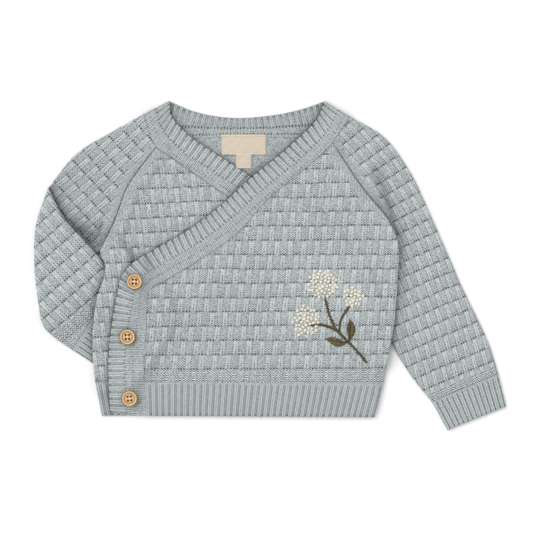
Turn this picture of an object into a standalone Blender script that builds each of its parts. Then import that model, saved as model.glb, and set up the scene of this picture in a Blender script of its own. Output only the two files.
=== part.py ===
"""A baby's wrap cardigan in basketweave knit, laid flat on its back.

The left front laps over the right one and closes with three buttons at the right side. The left sleeve
lies straight, partly under the body; the right sleeve is folded back over itself, and its cuff is tucked
under the body. +X is the wearer's left, +Y is toward the neck and +Z is up from the surface.
"""

import math
from collections import namedtuple

import bmesh
import bpy
import numpy as np
from mathutils import Vector
from mathutils.geometry import delaunay_2d_cdt

MM = 0.001  # every size below is in millimetres

# The knit
WALL = 1.8  # one layer of the knit, without its relief
SEAM_GAP = 0.3  # between pieces sewn edge to edge
LAYER_GAP = 0.3  # between layers that lie on each other
TUBE_WALL = 2 * WALL + LAYER_GAP  # a folded sleeve's two layers, where they share one solid
BLOCK_PITCH = 12.2  # one knit wale and three purl wales
SLEEVE_BLOCK_PITCH = 10.8
BLOCK_ROW = 13.3  # six courses
BLOCK_HEIGHT = 0.8  # a purl block's crown above the crease at its foot
BLOCK_PROFILE = [  # (share of the row, purl block, knit wales), both as shares of the height
    (0.0, 0.0, 0.4),
    (0.4, 1.0, 0.6),
]
RIB_HEIGHT = 0.9
RIB_FADE = 0.2  # what is left of a rib where it runs out
SEAM_RELIEF = 0.4  # a rib band's relief at its seam, as a share of its ribs'
BAND_RIB_PITCH = 6.5
HEM_RIB_PITCH = 5.7
BAND_ROWS = (0.5, 0.62)  # where a band's ribs begin and end to fade, as shares of its width
HEM_ROWS = (0.9, 0.96)  # the same on a hem or cuff

# The garment
HEM_LINE = -108.2  # where the hem rib is sewn on
EDGE_BULGE = 2.6  # how far the folded sleeve's edge bulges past its upper and lower faces
TUBE_BULGE = 1.2  # the same at the outer fold of the straight sleeve and of the cuffs
BULGE_TAPER = 18.0  # over which a bulge fades out toward its fold's ends
LAYER_GROOVE = 1.2  # between a folded sleeve's two layers, along its edges
BUTTON_RADIUS = 7.5
BUTTON_HEIGHT = 3.0
HOLE_RADIUS = 0.95
HOLE_SPACING = 3.3
LABEL_SIZE = (41.7, 19.0)
TAB_SIZE = (14.2, 13.1)
LABEL_WALL = 0.8

# How finely the faces are cut
EDGE_STEP = 9.0
PLAIN_STEP = 22.0
DRAPE_STEP = 6.5
DRAPE_TURNS = 8  # directions in which a layer is tried for a fall
DRAPE_LEAST = 0.05  # a smaller fall counts as level

# How a layer falls over what lies under it
CELL = 1.5
DRAPE_REACH = 9.0
DRAPE_SMOOTH = 4.0

COLOURS = {  # name: (linear colour, roughness)
    "knit": ((0.41, 0.45, 0.46), 0.95),
    "label": ((0.66, 0.56, 0.44), 0.8),
    "wood": ((0.58, 0.37, 0.18), 0.5),
}

# Bands as sections from the free edge to the seam: (edge_x, edge_y, seam_x, seam_y)
LEFT_BAND = [
    (50.4, 153.5, 74.2, 138.6),
    (43.3, 136.1, 57.6, 114.0),
    (21.1, 113.9, 39.0, 95.9),
    (-18.1, 81.4, -2.0, 62.0),
    (-49.7, 52.8, -31.3, 29.5),
    (-81.2, 30.0, -68.5, 3.5),
    (-109.0, 14.0, -94.0, -12.0),
    (-130.0, 0.0, -109.0, -20.5),
    (-138.2, -10.9, -113.6, -27.0),
    (-141.7, -26.3, -114.4, -36.0),
    (-147.0, -55.9, -115.4, -58.0),
    (-150.2, -88.0, -117.4, -88.0),
    (-149.8, -112.0, -116.6, -112.0),
    (-148.8, -137.5, -115.6, -140.0),
]
RIGHT_BAND = [
    (-94.0, 153.5, -118.4, 140.8),
    (-90.5, 136.5, -106.0, 110.0),
    (-78.0, 123.0, -92.5, 101.0),
    (-46.5, 101.2, -63.0, 80.0),
    (-18.1, 82.5, -36.0, 61.0),
    (6.1, 62.0, -12.3, 37.0),
    (37.6, 36.0, 23.9, 8.5),
    (62.0, 16.0, 46.0, -8.0),
    (82.0, -8.0, 57.0, -24.0),
    (88.0, -32.0, 60.0, -40.0),
    (90.0, -70.0, 61.0, -70.0),
    (89.0, -108.2, 61.0, -108.2),
    (87.0, -139.6, 61.0, -139.6),
]
RIGHT_BAND_SHOWN = 0.29  # its share from the shoulder that the left front leaves uncovered
NECKBAND = [  # between the shoulders; its seam's ends are the raglans' tops
    (-90.0, 150.6, -106.0, 110.0),
    (-72.1, 144.1, -80.0, 116.6),
    (-36.5, 137.8, -38.0, 119.6),
    (-9.8, 138.8, -6.0, 119.6),
    (27.4, 145.5, 34.0, 118.0),
    (44.5, 152.6, 57.6, 114.0),
]
LEFT_RAGLAN_TOP = (57.6, 114.0)
RIGHT_RAGLAN_TOP = (-106.0, 110.0)
LEFT_HEM_END = (-116.6, HEM_LINE)
RIGHT_HEM_END = (61.0, HEM_LINE)

# Edges as (x, y) knots of a smooth curve, from the neck down
LEFT_RAGLAN = [(84.5, 73.5), (109.0, 43.4)]
LEFT_SIDE = [(109.0, 43.4), (117.6, 25.6), (118.0, -14.0), (114.6, -55.9), (105.1, HEM_LINE)]
RIGHT_RAGLAN = [(-134.9, 68.6), (-142.5, 47.0), (-158.0, 13.0)]
RIGHT_SIDE = [(-158.0, 13.0), (-153.7, 0.0), (-161.9, -33.9), (-165.4, -73.0), (-163.0, HEM_LINE)]

# Hems and cuffs as sections: (end_x, end_y, seam_x, seam_y)
LEFT_HEM = [(-115.6, -140.0, -116.6, HEM_LINE), (96.3, -141.4, 105.1, HEM_LINE)]
RIGHT_HEM = [(-157.4, -139.8, -163.0, HEM_LINE), (61.0, -139.6, 61.0, HEM_LINE)]
RIGHT_HEM_SHOWN = 0.1
BACK_HEM = [(-157.4, -139.8, -163.0, HEM_LINE), (96.3, -141.4, 105.1, HEM_LINE)]
LEFT_CUFF = [(164.4, -153.3, 150.2, -126.9), (219.4, -131.1, 211.9, -100.9)]
RIGHT_CUFF = [(-125.4, -46.2, -148.1, -22.3), (-157.7, -96.0, -184.6, -78.6)]

# Sleeves
LEFT_SLEEVE_FOLD = [
    (105.1, 120.2), (127.2, 91.7), (149.5, 45.8), (177.9, -19.4), (204.9, -78.0), (211.9, -100.9),
]
LEFT_UNDERARM = [
    (109.0, 43.4), (101.0, 18.0), (99.5, -28.0), (113.7, -73.9), (136.0, -109.5), (150.2, -126.9),
]
UPPER_ARM_TOP = [(-150.6, 123.0), (-180.6, 104.2), (-206.6, 72.6)]
RIGHT_SLEEVE_FOLD = [(-206.6, 72.6), (-218.0, 38.0), (-219.6, 0.0), (-214.4, -46.4)]
RIGHT_UNDERARM = [(-214.4, -46.4), (-190.0, -17.0), (-158.0, 13.0)]
FOREARM_LOWER_EDGE = [(-214.4, -46.4), (-211.0, -56.5), (-200.0, -67.5), (-184.6, -78.6)]
FOREARM_UPPER_EDGE = [
    (-148.1, -22.3), (-153.5, 0.5), (-170.3, 20.8), (-191.7, 44.3), (-206.6, 72.6),
]

# Knit directions: a point on a crease between two rows, and the angle of the wales in degrees
GRAIN = {  # name: (x, y, angle)
    "left_front": (-20.0, 9.9, 85.5),
    "right_front": (-110.0, 16.6, 97.0),
    "left_sleeve": (140.0, 10.0, 111.5),
    "upper_arm": (-150.0, 80.0, 41.0),
    "forearm": (-185.0, -10.0, -46.0),
}

# Soft folds in a sleeve: (x, y, angle, half_length, half_width, height)
UPPER_ARM_FOLDS = [
    (-150.0, 38.0, 52.0, 22.0, 4.5, 2.2),
    (-163.0, 29.0, 60.0, 12.0, 5.0, -1.6),
    (-163.0, 19.5, 38.0, 7.0, 3.0, 1.6),
]
FOREARM_FOLDS = [
    (-196.0, 58.0, -52.0, 30.0, 7.0, 1.5),
    (-172.0, -30.0, -48.0, 45.0, 14.0, 1.2),
]

BUTTONS = [(-125.9, -14.9), (-132.5, -66.2), (-130.6, -123.3)]
LABEL_CENTRE = (-24.9, 112.6)
TAB_CENTRE = (-24.9, 98.0)


# Curves and outlines in the plane

def reach_along(knots):
    """The distance from the first knot to each knot."""
    steps = np.linalg.norm(np.diff(knots, axis=0), axis=1)
    return np.concatenate([[0], np.cumsum(steps)])


def smooth(knots, shares):
    """Rows at the given shares of a smooth curve through the knots."""
    knots = np.array(knots, float)
    reach = reach_along(knots)
    at = np.asarray(shares) * reach[-1]
    slope = np.gradient(knots, reach, axis=0)
    span = np.clip(np.searchsorted(reach, at, side="right") - 1, 0, len(reach) - 2)
    length = (reach[span + 1] - reach[span])[:, None]
    t = (at - reach[span])[:, None] / length
    return (
        knots[span] * (1 + 2 * t) * (1 - t) ** 2
        + slope[span] * length * t * (1 - t) ** 2
        + knots[span + 1] * t * t * (3 - 2 * t)
        + slope[span + 1] * length * t * t * (t - 1)
    )


def curve(knots, step=EDGE_STEP):
    """Points about a step apart on a smooth curve through the knots."""
    count = max(1, round(reach_along(np.array(knots, float))[-1] / step))
    return smooth(knots, np.linspace(0, 1, count + 1))


def ring(*chains):
    """One closed outline from chains that follow each other, without their doubled ends."""
    return np.vstack([np.asarray(chain)[:-1] for chain in chains])


def part_of(line, start, end):
    """The stretch of a line between the points nearest to start and end, either way round."""
    i = np.argmin(np.linalg.norm(line - np.array(start), axis=1))
    k = np.argmin(np.linalg.norm(line - np.array(end), axis=1))
    return line[i:k + 1] if i <= k else line[k:i + 1][::-1]


def turned(line):
    """Unit vectors across a closed line, on its inner side, and how much each mitre lengthens."""
    before = line - np.roll(line, 1, axis=0)
    after = np.roll(line, -1, axis=0) - line
    before /= np.linalg.norm(before, axis=1)[:, None]
    after /= np.linalg.norm(after, axis=1)[:, None]
    x, y = line.T
    side = 1.0 if np.sum(x * np.roll(y, -1) - y * np.roll(x, -1)) > 0 else -1.0
    both = before + after
    size = np.linalg.norm(both, axis=1)
    across = side * np.stack([-both[:, 1], both[:, 0]], axis=1) / size[:, None]
    return across, np.minimum(2.0 / size, 2.0)


def moved_in(outline, distance):
    """The outline moved inward; distance is one number, or one for each point."""
    across, mitre = turned(outline)
    return outline + across * (np.asarray(distance) * mitre)[:, None]


def is_inside(points, outline):
    """Which points lie inside a closed outline."""
    x, y = points[:, 0], points[:, 1]
    inside = np.zeros(len(points), bool)
    for (ax, ay), (bx, by) in zip(outline, np.roll(outline, -1, axis=0)):
        if ay != by:
            inside ^= ((ay > y) != (by > y)) & (x < ax + (y - ay) * (bx - ax) / (by - ay))
    return inside


def distance_to(points, line, closed=True):
    """Each point's distance to a line or to a closed outline."""
    best = np.full(len(points), np.inf)
    starts, ends = (line, np.roll(line, -1, axis=0)) if closed else (line[:-1], line[1:])
    for a, b in zip(starts, ends):
        side = b - a
        share = np.clip((points - a) @ side / (side @ side), 0, 1)
        best = np.minimum(best, np.linalg.norm(points - a - share[:, None] * side, axis=1))
    return best


def kept(points, outline, margin, covers=()):
    """The points inside the outline by more than a margin, and under none of the covers."""
    spots = points[:, :2]
    keep = is_inside(spots, outline)
    keep[keep] = distance_to(spots[keep], outline) > margin
    for cover in covers:
        keep &= ~is_inside(spots, cover)
    return points[keep]


def with_relief(outline, relief=0.0):
    """Points (x, y) as (x, y, relief)."""
    return np.column_stack([outline, np.full(len(outline), relief)])


# How high the pieces reach, on a grid of cells

LOW_CORNER = np.array([-255.0, -190.0])
GRID_SIZE = (340, 260)


def highest_near(field, radius):
    """The highest value within a radius of each cell."""
    reach = int(math.ceil(radius / CELL))
    padded = np.pad(field, reach)
    best = field.copy()
    for i in range(-reach, reach + 1):
        for j in range(-reach, reach + 1):
            if math.hypot(i, j) * CELL <= radius:
                rows = slice(reach + i, reach + i + field.shape[0])
                columns = slice(reach + j, reach + j + field.shape[1])
                best = np.maximum(best, padded[rows, columns])
    return best


def mean_near(field, radius):
    """The mean within a square of each cell."""
    reach = int(round(radius / CELL))
    for axis in (0, 1):
        field = sum(np.roll(field, k, axis=axis) for k in range(-reach, reach + 1)) / (2 * reach + 1)
    return field


class Ground:
    """How high each piece laid so far reaches: a field of heights by the piece's name."""

    def __init__(self):
        i, j = np.meshgrid(np.arange(GRID_SIZE[0]), np.arange(GRID_SIZE[1]), indexing="ij")
        self.cells = np.stack([i, j], axis=-1).reshape(-1, 2) * CELL + LOW_CORNER
        self.fields = {}

    def lay(self, made):
        """Note how high an object's faces reach."""
        mesh = made.data
        mesh.calc_loop_triangles()
        spots = np.array([v.co[:] for v in mesh.vertices]) / MM
        field = np.zeros(GRID_SIZE)
        for triangle in mesh.loop_triangles:
            raise_to_triangle(field, *spots[list(triangle.vertices)])
        self.fields[made.name] = field

    def lay_slab(self, name, outline, height):
        """Note a level height inside an outline."""
        inside = is_inside(self.cells, outline).reshape(GRID_SIZE)
        self.fields[name] = np.where(inside, height, 0.0)

    def under(self, outlines, names, seams=()):
        """A function of points: how high the underside of a layer lies over the named pieces.

        Along its seams the layer only meets a named one edge to edge, so what is near them is left out.
        """
        inside = np.zeros(len(self.cells), bool)
        for outline in outlines:
            inside |= is_inside(self.cells, moved_in(outline[:, :2], -CELL))
        for seam in seams:
            inside[inside] = distance_to(self.cells[inside], seam, closed=False) > 2 * CELL
        field = np.zeros(GRID_SIZE)
        for name in names:
            field = np.maximum(field, self.fields[name])
        field = np.where(inside.reshape(GRID_SIZE) & (field > 0), field + LAYER_GAP, 0.0)
        field = mean_near(highest_near(field, DRAPE_REACH + DRAPE_SMOOTH), DRAPE_SMOOTH)
        return lambda points: read_field(field, points)

    def top_near(self, centre, radius, name):
        """The highest point of a piece within a circle."""
        near = np.linalg.norm(self.cells - np.array(centre), axis=1) < radius
        return self.fields[name].reshape(-1)[near].max()


def raise_to_triangle(field, a, b, c):
    """Raise a field of heights to a triangle, where it is lower."""
    area = (b[0] - a[0]) * (c[1] - a[1]) - (c[0] - a[0]) * (b[1] - a[1])
    if abs(area) < 1e-6:
        return
    corners = np.stack([a, b, c])[:, :2]
    low = np.floor((corners.min(axis=0) - LOW_CORNER) / CELL).astype(int)
    high = np.ceil((corners.max(axis=0) - LOW_CORNER) / CELL).astype(int) + 1
    x = (np.arange(low[0], high[0]) * CELL + LOW_CORNER[0])[:, None]
    y = (np.arange(low[1], high[1]) * CELL + LOW_CORNER[1])[None, :]
    u = ((x - a[0]) * (c[1] - a[1]) - (c[0] - a[0]) * (y - a[1])) / area
    v = ((b[0] - a[0]) * (y - a[1]) - (x - a[0]) * (b[1] - a[1])) / area
    covered = (u >= 0) & (v >= 0) & (u + v <= 1)
    z = a[2] + u * (b[2] - a[2]) + v * (c[2] - a[2])
    part = field[low[0]:high[0], low[1]:high[1]]
    part[covered] = np.maximum(part[covered], z[covered])


def read_field(field, points):
    """The field at any points, between its cells."""
    place = (points[:, :2] - LOW_CORNER) / CELL
    cell = np.floor(place).astype(int)
    u, v = (place - cell).T
    i, j = cell.T
    return (
        field[i, j] * (1 - u) * (1 - v) + field[i + 1, j] * u * (1 - v)
        + field[i, j + 1] * (1 - u) * v + field[i + 1, j + 1] * u * v
    )


# Points inside an outline, as (x, y, relief)

def square_lattice(outline, step):
    """Points a step apart over an outline's box."""
    low, high = outline.min(axis=0) + step / 3, outline.max(axis=0)
    x, y = np.meshgrid(np.arange(low[0], high[0], step), np.arange(low[1], high[1], step))
    return np.stack([x.ravel(), y.ravel()], axis=1)


def plain_points(outline, under):
    """Sparse points where the layer lies level, and close ones where it falls over something."""
    fine = kept(square_lattice(outline, DRAPE_STEP), outline, DRAPE_STEP * 0.45)
    turns = np.arange(DRAPE_TURNS) * 2 * math.pi / DRAPE_TURNS
    around = 1.5 * DRAPE_STEP * np.stack([np.cos(turns), np.sin(turns)], axis=1)
    levels = np.array([under(fine)] + [under(fine + offset) for offset in around])
    fine = fine[np.ptp(levels, axis=0) > DRAPE_LEAST]
    sparse = kept(square_lattice(outline, PLAIN_STEP), outline, PLAIN_STEP * 0.35)
    if len(fine) and len(sparse):
        gaps = np.linalg.norm(sparse[:, None] - fine[None], axis=2).min(axis=1)
        sparse = sparse[gaps > DRAPE_STEP]
    return with_relief(np.vstack([fine, sparse]))


def block_points(outline, grain, pitch, covers=()):
    """The basketweave: purl blocks with a crease at the foot and a crown, between knit wales."""
    x, y, angle = grain
    wale = np.array([math.cos(math.radians(angle)), math.sin(math.radians(angle))])
    course = np.array([wale[1], -wale[0]])
    reach = np.linalg.norm(outline - (x, y), axis=1).max()
    rows, columns = int(reach / BLOCK_ROW) + 1, int(reach / (pitch / 2)) + 1
    points = []
    for j in range(-rows, rows + 1):
        for i in range(-columns, columns + 1):
            foot = np.array([x, y]) + course * i * pitch / 2 + wale * j * BLOCK_ROW
            for share, purl, knit in BLOCK_PROFILE:
                relief = BLOCK_HEIGHT * (purl if (i + j) % 2 == 0 else knit)
                points.append((*(foot + wale * share * BLOCK_ROW), relief))
    return kept(np.array(points), outline, pitch * 0.2, covers)


def panel_points(outline, grain, pitch, under, covers=()):
    """Basketweave where the panel shows, and plain points where it is covered."""
    plain = plain_points(outline, under)
    hidden = np.zeros(len(plain), bool)
    for cover in covers:
        hidden |= is_inside(plain[:, :2], moved_in(cover, DRAPE_STEP))
    return np.vstack([block_points(outline, grain, pitch, covers), plain[hidden]])


Band = namedtuple("Band", "outline points seam ribs")


def band_shape(sections, pitch, shown=1.0, row_shares=BAND_ROWS, seam_relief=SEAM_RELIEF):
    """A ribbed band from sections (end_x, end_y, seam_x, seam_y).

    The ribs run from the free end toward the seam and fade out between the two row shares. The free
    end has a point at every half rib and the seam one at every rib; past the shown share the band is
    plain.
    """
    length = reach_along(np.array(sections, float))[-1]
    halves = 2 * round(length * shown / pitch)
    shares = np.linspace(0, shown, halves + 1)
    seam_shares = shares[::2]
    if shown < 1:
        rest = np.linspace(shown, 1, max(1, round(length * (1 - shown) / EDGE_STEP)) + 1)[1:]
        shares, seam_shares = np.append(shares, rest), np.append(seam_shares, rest)
    ends, seam = smooth(sections, shares), smooth(sections, seam_shares)[:, 2:]
    ridge = RIB_HEIGHT * (np.arange(len(shares)) % 2)
    ridge[halves + 1:] = 0.0
    outline = np.vstack([
        np.column_stack([ends[:, :2], ridge]), with_relief(seam[::-1], seam_relief * RIB_HEIGHT),
    ])
    rows = []
    for share in row_shares:
        spots = ends[1:halves, :2] * (1 - share) + ends[1:halves, 2:] * share
        strength = ridge[1:halves] if share < row_shares[-1] else RIB_FADE * RIB_HEIGHT
        rows.append(np.column_stack([spots, np.broadcast_to(strength, len(spots))]))
    count = max(0, halves - 1)
    ribs = [(i + 1, len(outline) + i) for i in range(count)]
    ribs += [(len(outline) + i, len(outline) + count + i) for i in range(count)]
    return Band(outline, np.vstack(rows), seam, ribs)


def through(band, *spots):
    """The band with the nearest point of its seam moved to each spot."""
    outline, seam = band.outline.copy(), band.seam.copy()
    for spot in spots:
        near = np.argmin(np.linalg.norm(seam - np.array(spot), axis=1))
        outline[np.argmin(np.linalg.norm(outline[:, :2] - seam[near], axis=1)), :2] = spot
        seam[near] = spot
    return band._replace(outline=outline, seam=seam)


def fold_relief(points, folds):
    """The height of soft folds at each point."""
    relief = np.zeros(len(points))
    for x, y, angle, length, width, height in folds:
        along = np.array([math.cos(math.radians(angle)), math.sin(math.radians(angle))])
        away = points[:, :2] - (x, y)
        across = away[:, 1] * along[0] - away[:, 0] * along[1]
        relief += height * np.exp(-((away @ along) / length) ** 2 - (across / width) ** 2)
    return relief


# Solids

def material(name):
    """A plain material in the named colour."""
    made = bpy.data.materials.get(name)
    if made is None:
        colour, roughness = COLOURS[name]
        made = bpy.data.materials.new(name)
        made.use_nodes = True
        shader = made.node_tree.nodes["Principled BSDF"]
        shader.inputs["Base Color"].default_value = (*colour, 1.0)
        shader.inputs["Roughness"].default_value = roughness
        shader.inputs["Metallic"].default_value = 0.0
    return made


def add_row(bm, spots):
    """Vertices at (x, y, z) in millimetres."""
    return [bm.verts.new((x * MM, y * MM, z * MM)) for x, y, z in spots]


def add_face(bm, outline, points, height, creases=()):
    """Triangles over an outline and the points inside it; returns the vertices of its edge.

    Creases are pairs of places, in the outline and then the points, that an edge joins.
    """
    flat = np.vstack([outline, points]).astype(np.float32).astype(float)
    count = len(outline)
    edges = [(i, (i + 1) % count) for i in range(count)] + list(creases)
    _, _, faces, origins, _, _ = delaunay_2d_cdt(
        [Vector(p[:2]) for p in flat], edges, [], 1, 1e-4, True
    )
    where = flat[[origin[0] for origin in origins]]
    verts = add_row(bm, np.column_stack([where[:, :2], height(where)]))
    middles = np.array([where[list(face), :2].mean(axis=0) for face in faces])
    for face, inside in zip(faces, is_inside(middles, flat[:count, :2])):
        if inside:
            bm.faces.new([verts[i] for i in face])
    place = {origin[0]: vert for origin, vert in zip(origins, verts)}
    return [place[i] for i in range(count)]


def add_wall(bm, one, other, spans, middle=None):
    """Faces between two edges of an outline over the given spans, by way of any middle vertices."""
    for i in spans:
        k = (i + 1) % len(one)
        near, far = (middle[i], middle[k]) if middle else (None, None)
        if near and far:
            bm.faces.new([one[i], near, far, one[k]])
            bm.faces.new([near, other[i], other[k], far])
        else:
            corners = [one[i], near, other[i], other[k], far, one[k]]
            bm.faces.new([corner for corner in corners if corner])


def finish(bm, name, colour):
    """The named object, from a closed mesh."""
    bmesh.ops.triangulate(bm, faces=bm.faces[:])
    bmesh.ops.recalc_face_normals(bm, faces=bm.faces[:])
    mesh = bpy.data.meshes.new(name)
    bm.to_mesh(mesh)
    bm.free()
    mesh.materials.append(material(colour))
    made = bpy.data.objects.new(name, mesh)
    bpy.context.scene.collection.objects.link(made)
    return made


def cloth(name, outline, points, under, ground, wall=WALL, colour="knit", creases=()):
    """One layer of cloth; outline and points are (x, y, relief)."""
    outline = outline.copy()
    outline[:, :2] = moved_in(outline[:, :2], SEAM_GAP / 2)
    bm = bmesh.new()
    upper = add_face(bm, outline, points, lambda spots: under(spots) + wall + spots[:, 2], creases)
    lower = add_face(bm, outline, plain_points(outline[:, :2], under), under)
    add_wall(bm, upper, lower, range(len(outline)))
    made = finish(bm, name, colour)
    ground.lay(made)
    return made


class Sheet:
    """One of the two sheets that a fold joins. Its outline starts with the fold's points."""

    def __init__(self, outline, points, under, wall, folds=(), groove=0.0, creases=()):
        self.outline, self.points, self.under = outline, points, under
        self.wall, self.folds, self.groove, self.creases = wall, folds, groove, creases

    def top(self, spots):
        return self.under(spots) + self.wall + spots[:, 2] + fold_relief(spots, self.folds)

    def inset(self, fold, distance):
        """The outline clear of its seams, with the fold's points moved in by their distances."""
        distances = np.full(len(self.outline), SEAM_GAP / 2)
        distances[:fold] += distance
        return np.column_stack([moved_in(self.outline[:, :2], distances), self.outline[:, 2]])

    def add(self, bm, fold, top_inset, under_inset):
        """Its two faces, closed along all but the fold; returns the vertices of their edges."""
        outlines = self.inset(fold, top_inset), self.inset(fold, under_inset)
        points = self.points if self.creases else kept(self.points, outlines[0][:, :2], 0.6)
        upper = add_face(bm, outlines[0], points, self.top, self.creases)
        lower = add_face(bm, outlines[1], plain_points(outlines[1][:, :2], self.under), self.under)
        middle = None
        if self.groove:
            line = self.inset(fold, top_inset)
            heights = (self.top(line) + self.under(line)) / 2
            line[:, :2] = moved_in(line[:, :2], self.groove)
            row = add_row(bm, np.column_stack([line[fold:, :2], heights[fold:]]))
            middle = [None] * fold + row
        add_wall(bm, upper, lower, range(fold - 1, len(self.outline)), middle)
        return upper, lower


def folded(name, upper, lower, fold, bulge, ground, end_wall=1.0):
    """Two sheets joined by a round fold over the first points of their outlines.

    end_wall is the fold's thickness at its ends, as a share of the thinner sheet's.
    """
    reach = reach_along(upper.outline[:fold, :2])
    soft = np.sqrt(np.clip(np.minimum(reach, reach[-1] - reach) / BULGE_TAPER, 0, 1))
    bulge = bulge * soft if fold > 2 else np.full(fold, bulge)
    lining = bulge + min(upper.wall, lower.wall) * np.maximum(soft, end_wall)
    bm = bmesh.new()
    top_skin, top_lining = upper.add(bm, fold, bulge, lining)
    low_lining, low_skin = lower.add(bm, fold, lining, bulge)
    across, _ = turned(upper.outline[:, :2])
    high = np.array([v.co[:] for v in top_skin[:fold]]) / MM
    low = np.array([v.co[:] for v in low_skin[:fold]]) / MM
    rows = [top_skin[:fold]]
    for turn in (0.25, 0.5, 0.75):
        share = (1 - math.cos(turn * math.pi)) / 2
        spots = high * (1 - share) + low * share
        spots[:, :2] -= across[:fold] * (bulge * math.sin(turn * math.pi))[:, None]
        rows.append(add_row(bm, spots))
    rows.append(low_skin[:fold])
    for one, other in zip(rows, rows[1:]):
        add_wall(bm, one, other, range(fold - 1))
    add_wall(bm, top_lining, low_lining, range(fold - 1))
    for end in (0, fold - 1):
        bm.faces.new([row[end] for row in rows] + [low_lining[end], top_lining[end]])
    made = finish(bm, name, "knit")
    ground.lay(made)
    return made


# Pieces

def level(height):
    """An underside at one height."""
    return lambda points: np.full(len(points), float(height))


def tube_sheets(outline, points, creases=()):
    """The upper and the lower layer of a sleeve or cuff that lies flat."""
    lower = Sheet(outline * (1, 1, 0), np.zeros((0, 3)), level(0), WALL)
    upper = Sheet(outline, points, level(WALL + LAYER_GAP), WALL, creases=creases)
    return upper, lower


def make_cuff(name, sections, ground):
    """A ribbed tube, folded flat at its last section."""
    band = band_shape(sections, HEM_RIB_PITCH, row_shares=HEM_ROWS)
    count = len(band.outline)
    start = np.argmin(np.linalg.norm(band.outline[:, :2] - sections[-1][:2], axis=1))
    ribs = [tuple((i - start) % count if i < count else i for i in rib) for rib in band.ribs]
    upper, lower = tube_sheets(np.roll(band.outline, -start, axis=0), band.points, ribs)
    return folded(name, upper, lower, 2, TUBE_BULGE, ground)


def make_left_sleeve(shoulder, raglan, ground):
    """The straight sleeve: two layers, folded along its outer edge."""
    fold = curve([shoulder[0]] + LEFT_SLEEVE_FOLD)
    outline = with_relief(ring(
        fold,
        curve([LEFT_SLEEVE_FOLD[-1], LEFT_UNDERARM[-1]]),
        curve(LEFT_UNDERARM)[::-1],
        raglan[::-1],
        shoulder[::-1],
    ), BLOCK_HEIGHT / 2)
    points = block_points(outline[:, :2], GRAIN["left_sleeve"], SLEEVE_BLOCK_PITCH)
    upper, lower = tube_sheets(outline, points)
    return folded("left_sleeve", upper, lower, len(fold), TUBE_BULGE, ground)


def make_right_sleeve(shoulder, raglan, ground):
    """The upper arm, and the forearm folded back over it; each is two layers in one solid."""
    fold = curve(RIGHT_SLEEVE_FOLD)
    arm = ring(
        fold, curve(RIGHT_UNDERARM), raglan[::-1], shoulder[::-1], curve([shoulder[0]] + UPPER_ARM_TOP)
    )
    forearm = ring(
        fold,
        curve(FOREARM_LOWER_EDGE),
        curve([FOREARM_LOWER_EDGE[-1], FOREARM_UPPER_EDGE[0]]),
        curve(FOREARM_UPPER_EDGE),
    )
    floor = level(0)
    arm_points = block_points(arm, GRAIN["upper_arm"], SLEEVE_BLOCK_PITCH, [forearm])
    lower = Sheet(with_relief(arm), arm_points, floor, TUBE_WALL, UPPER_ARM_FOLDS, LAYER_GROOVE)
    ground.lay_slab("upper_arm", arm, TUBE_WALL + BLOCK_HEIGHT)
    under = ground.under([forearm], ["upper_arm"])
    points = block_points(forearm, GRAIN["forearm"], SLEEVE_BLOCK_PITCH)
    upper = Sheet(
        with_relief(forearm, BLOCK_HEIGHT / 2), points, under, TUBE_WALL, FOREARM_FOLDS, LAYER_GROOVE
    )
    return folded("right_sleeve", upper, lower, len(fold), EDGE_BULGE, ground, end_wall=0.15)


def make_band(name, band, under, ground):
    """A ribbed band, sewn along one edge."""
    return cloth(name, band.outline, band.points, under, ground, creases=band.ribs)


def neckband_shape(left_shoulder, right_shoulder):
    """The back neckband, whose ends run out along the shoulders under the front bands.

    Each shoulder is a front band's seam, from the shoulder's fold to the raglan's top.
    """
    sections = list(NECKBAND)
    sections[0] = (*NECKBAND[0][:2], *right_shoulder[-1])
    sections[-1] = (*NECKBAND[-1][:2], *left_shoulder[-1])
    band = band_shape(sections, HEM_RIB_PITCH)
    ends = len(band.outline) - len(band.seam)
    left_end = with_relief(np.vstack([LEFT_BAND[0][:2], left_shoulder[:-1]]))
    right_end = with_relief(np.vstack([right_shoulder[:-1][::-1], RIGHT_BAND[0][:2]]))
    outline = np.vstack([band.outline[:ends], left_end, band.outline[ends:], right_end])
    shift = len(left_end) + len(right_end)
    ribs = [tuple(i + shift if i >= len(band.outline) else i for i in rib) for rib in band.ribs]
    return band._replace(outline=outline, ribs=ribs)


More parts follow.
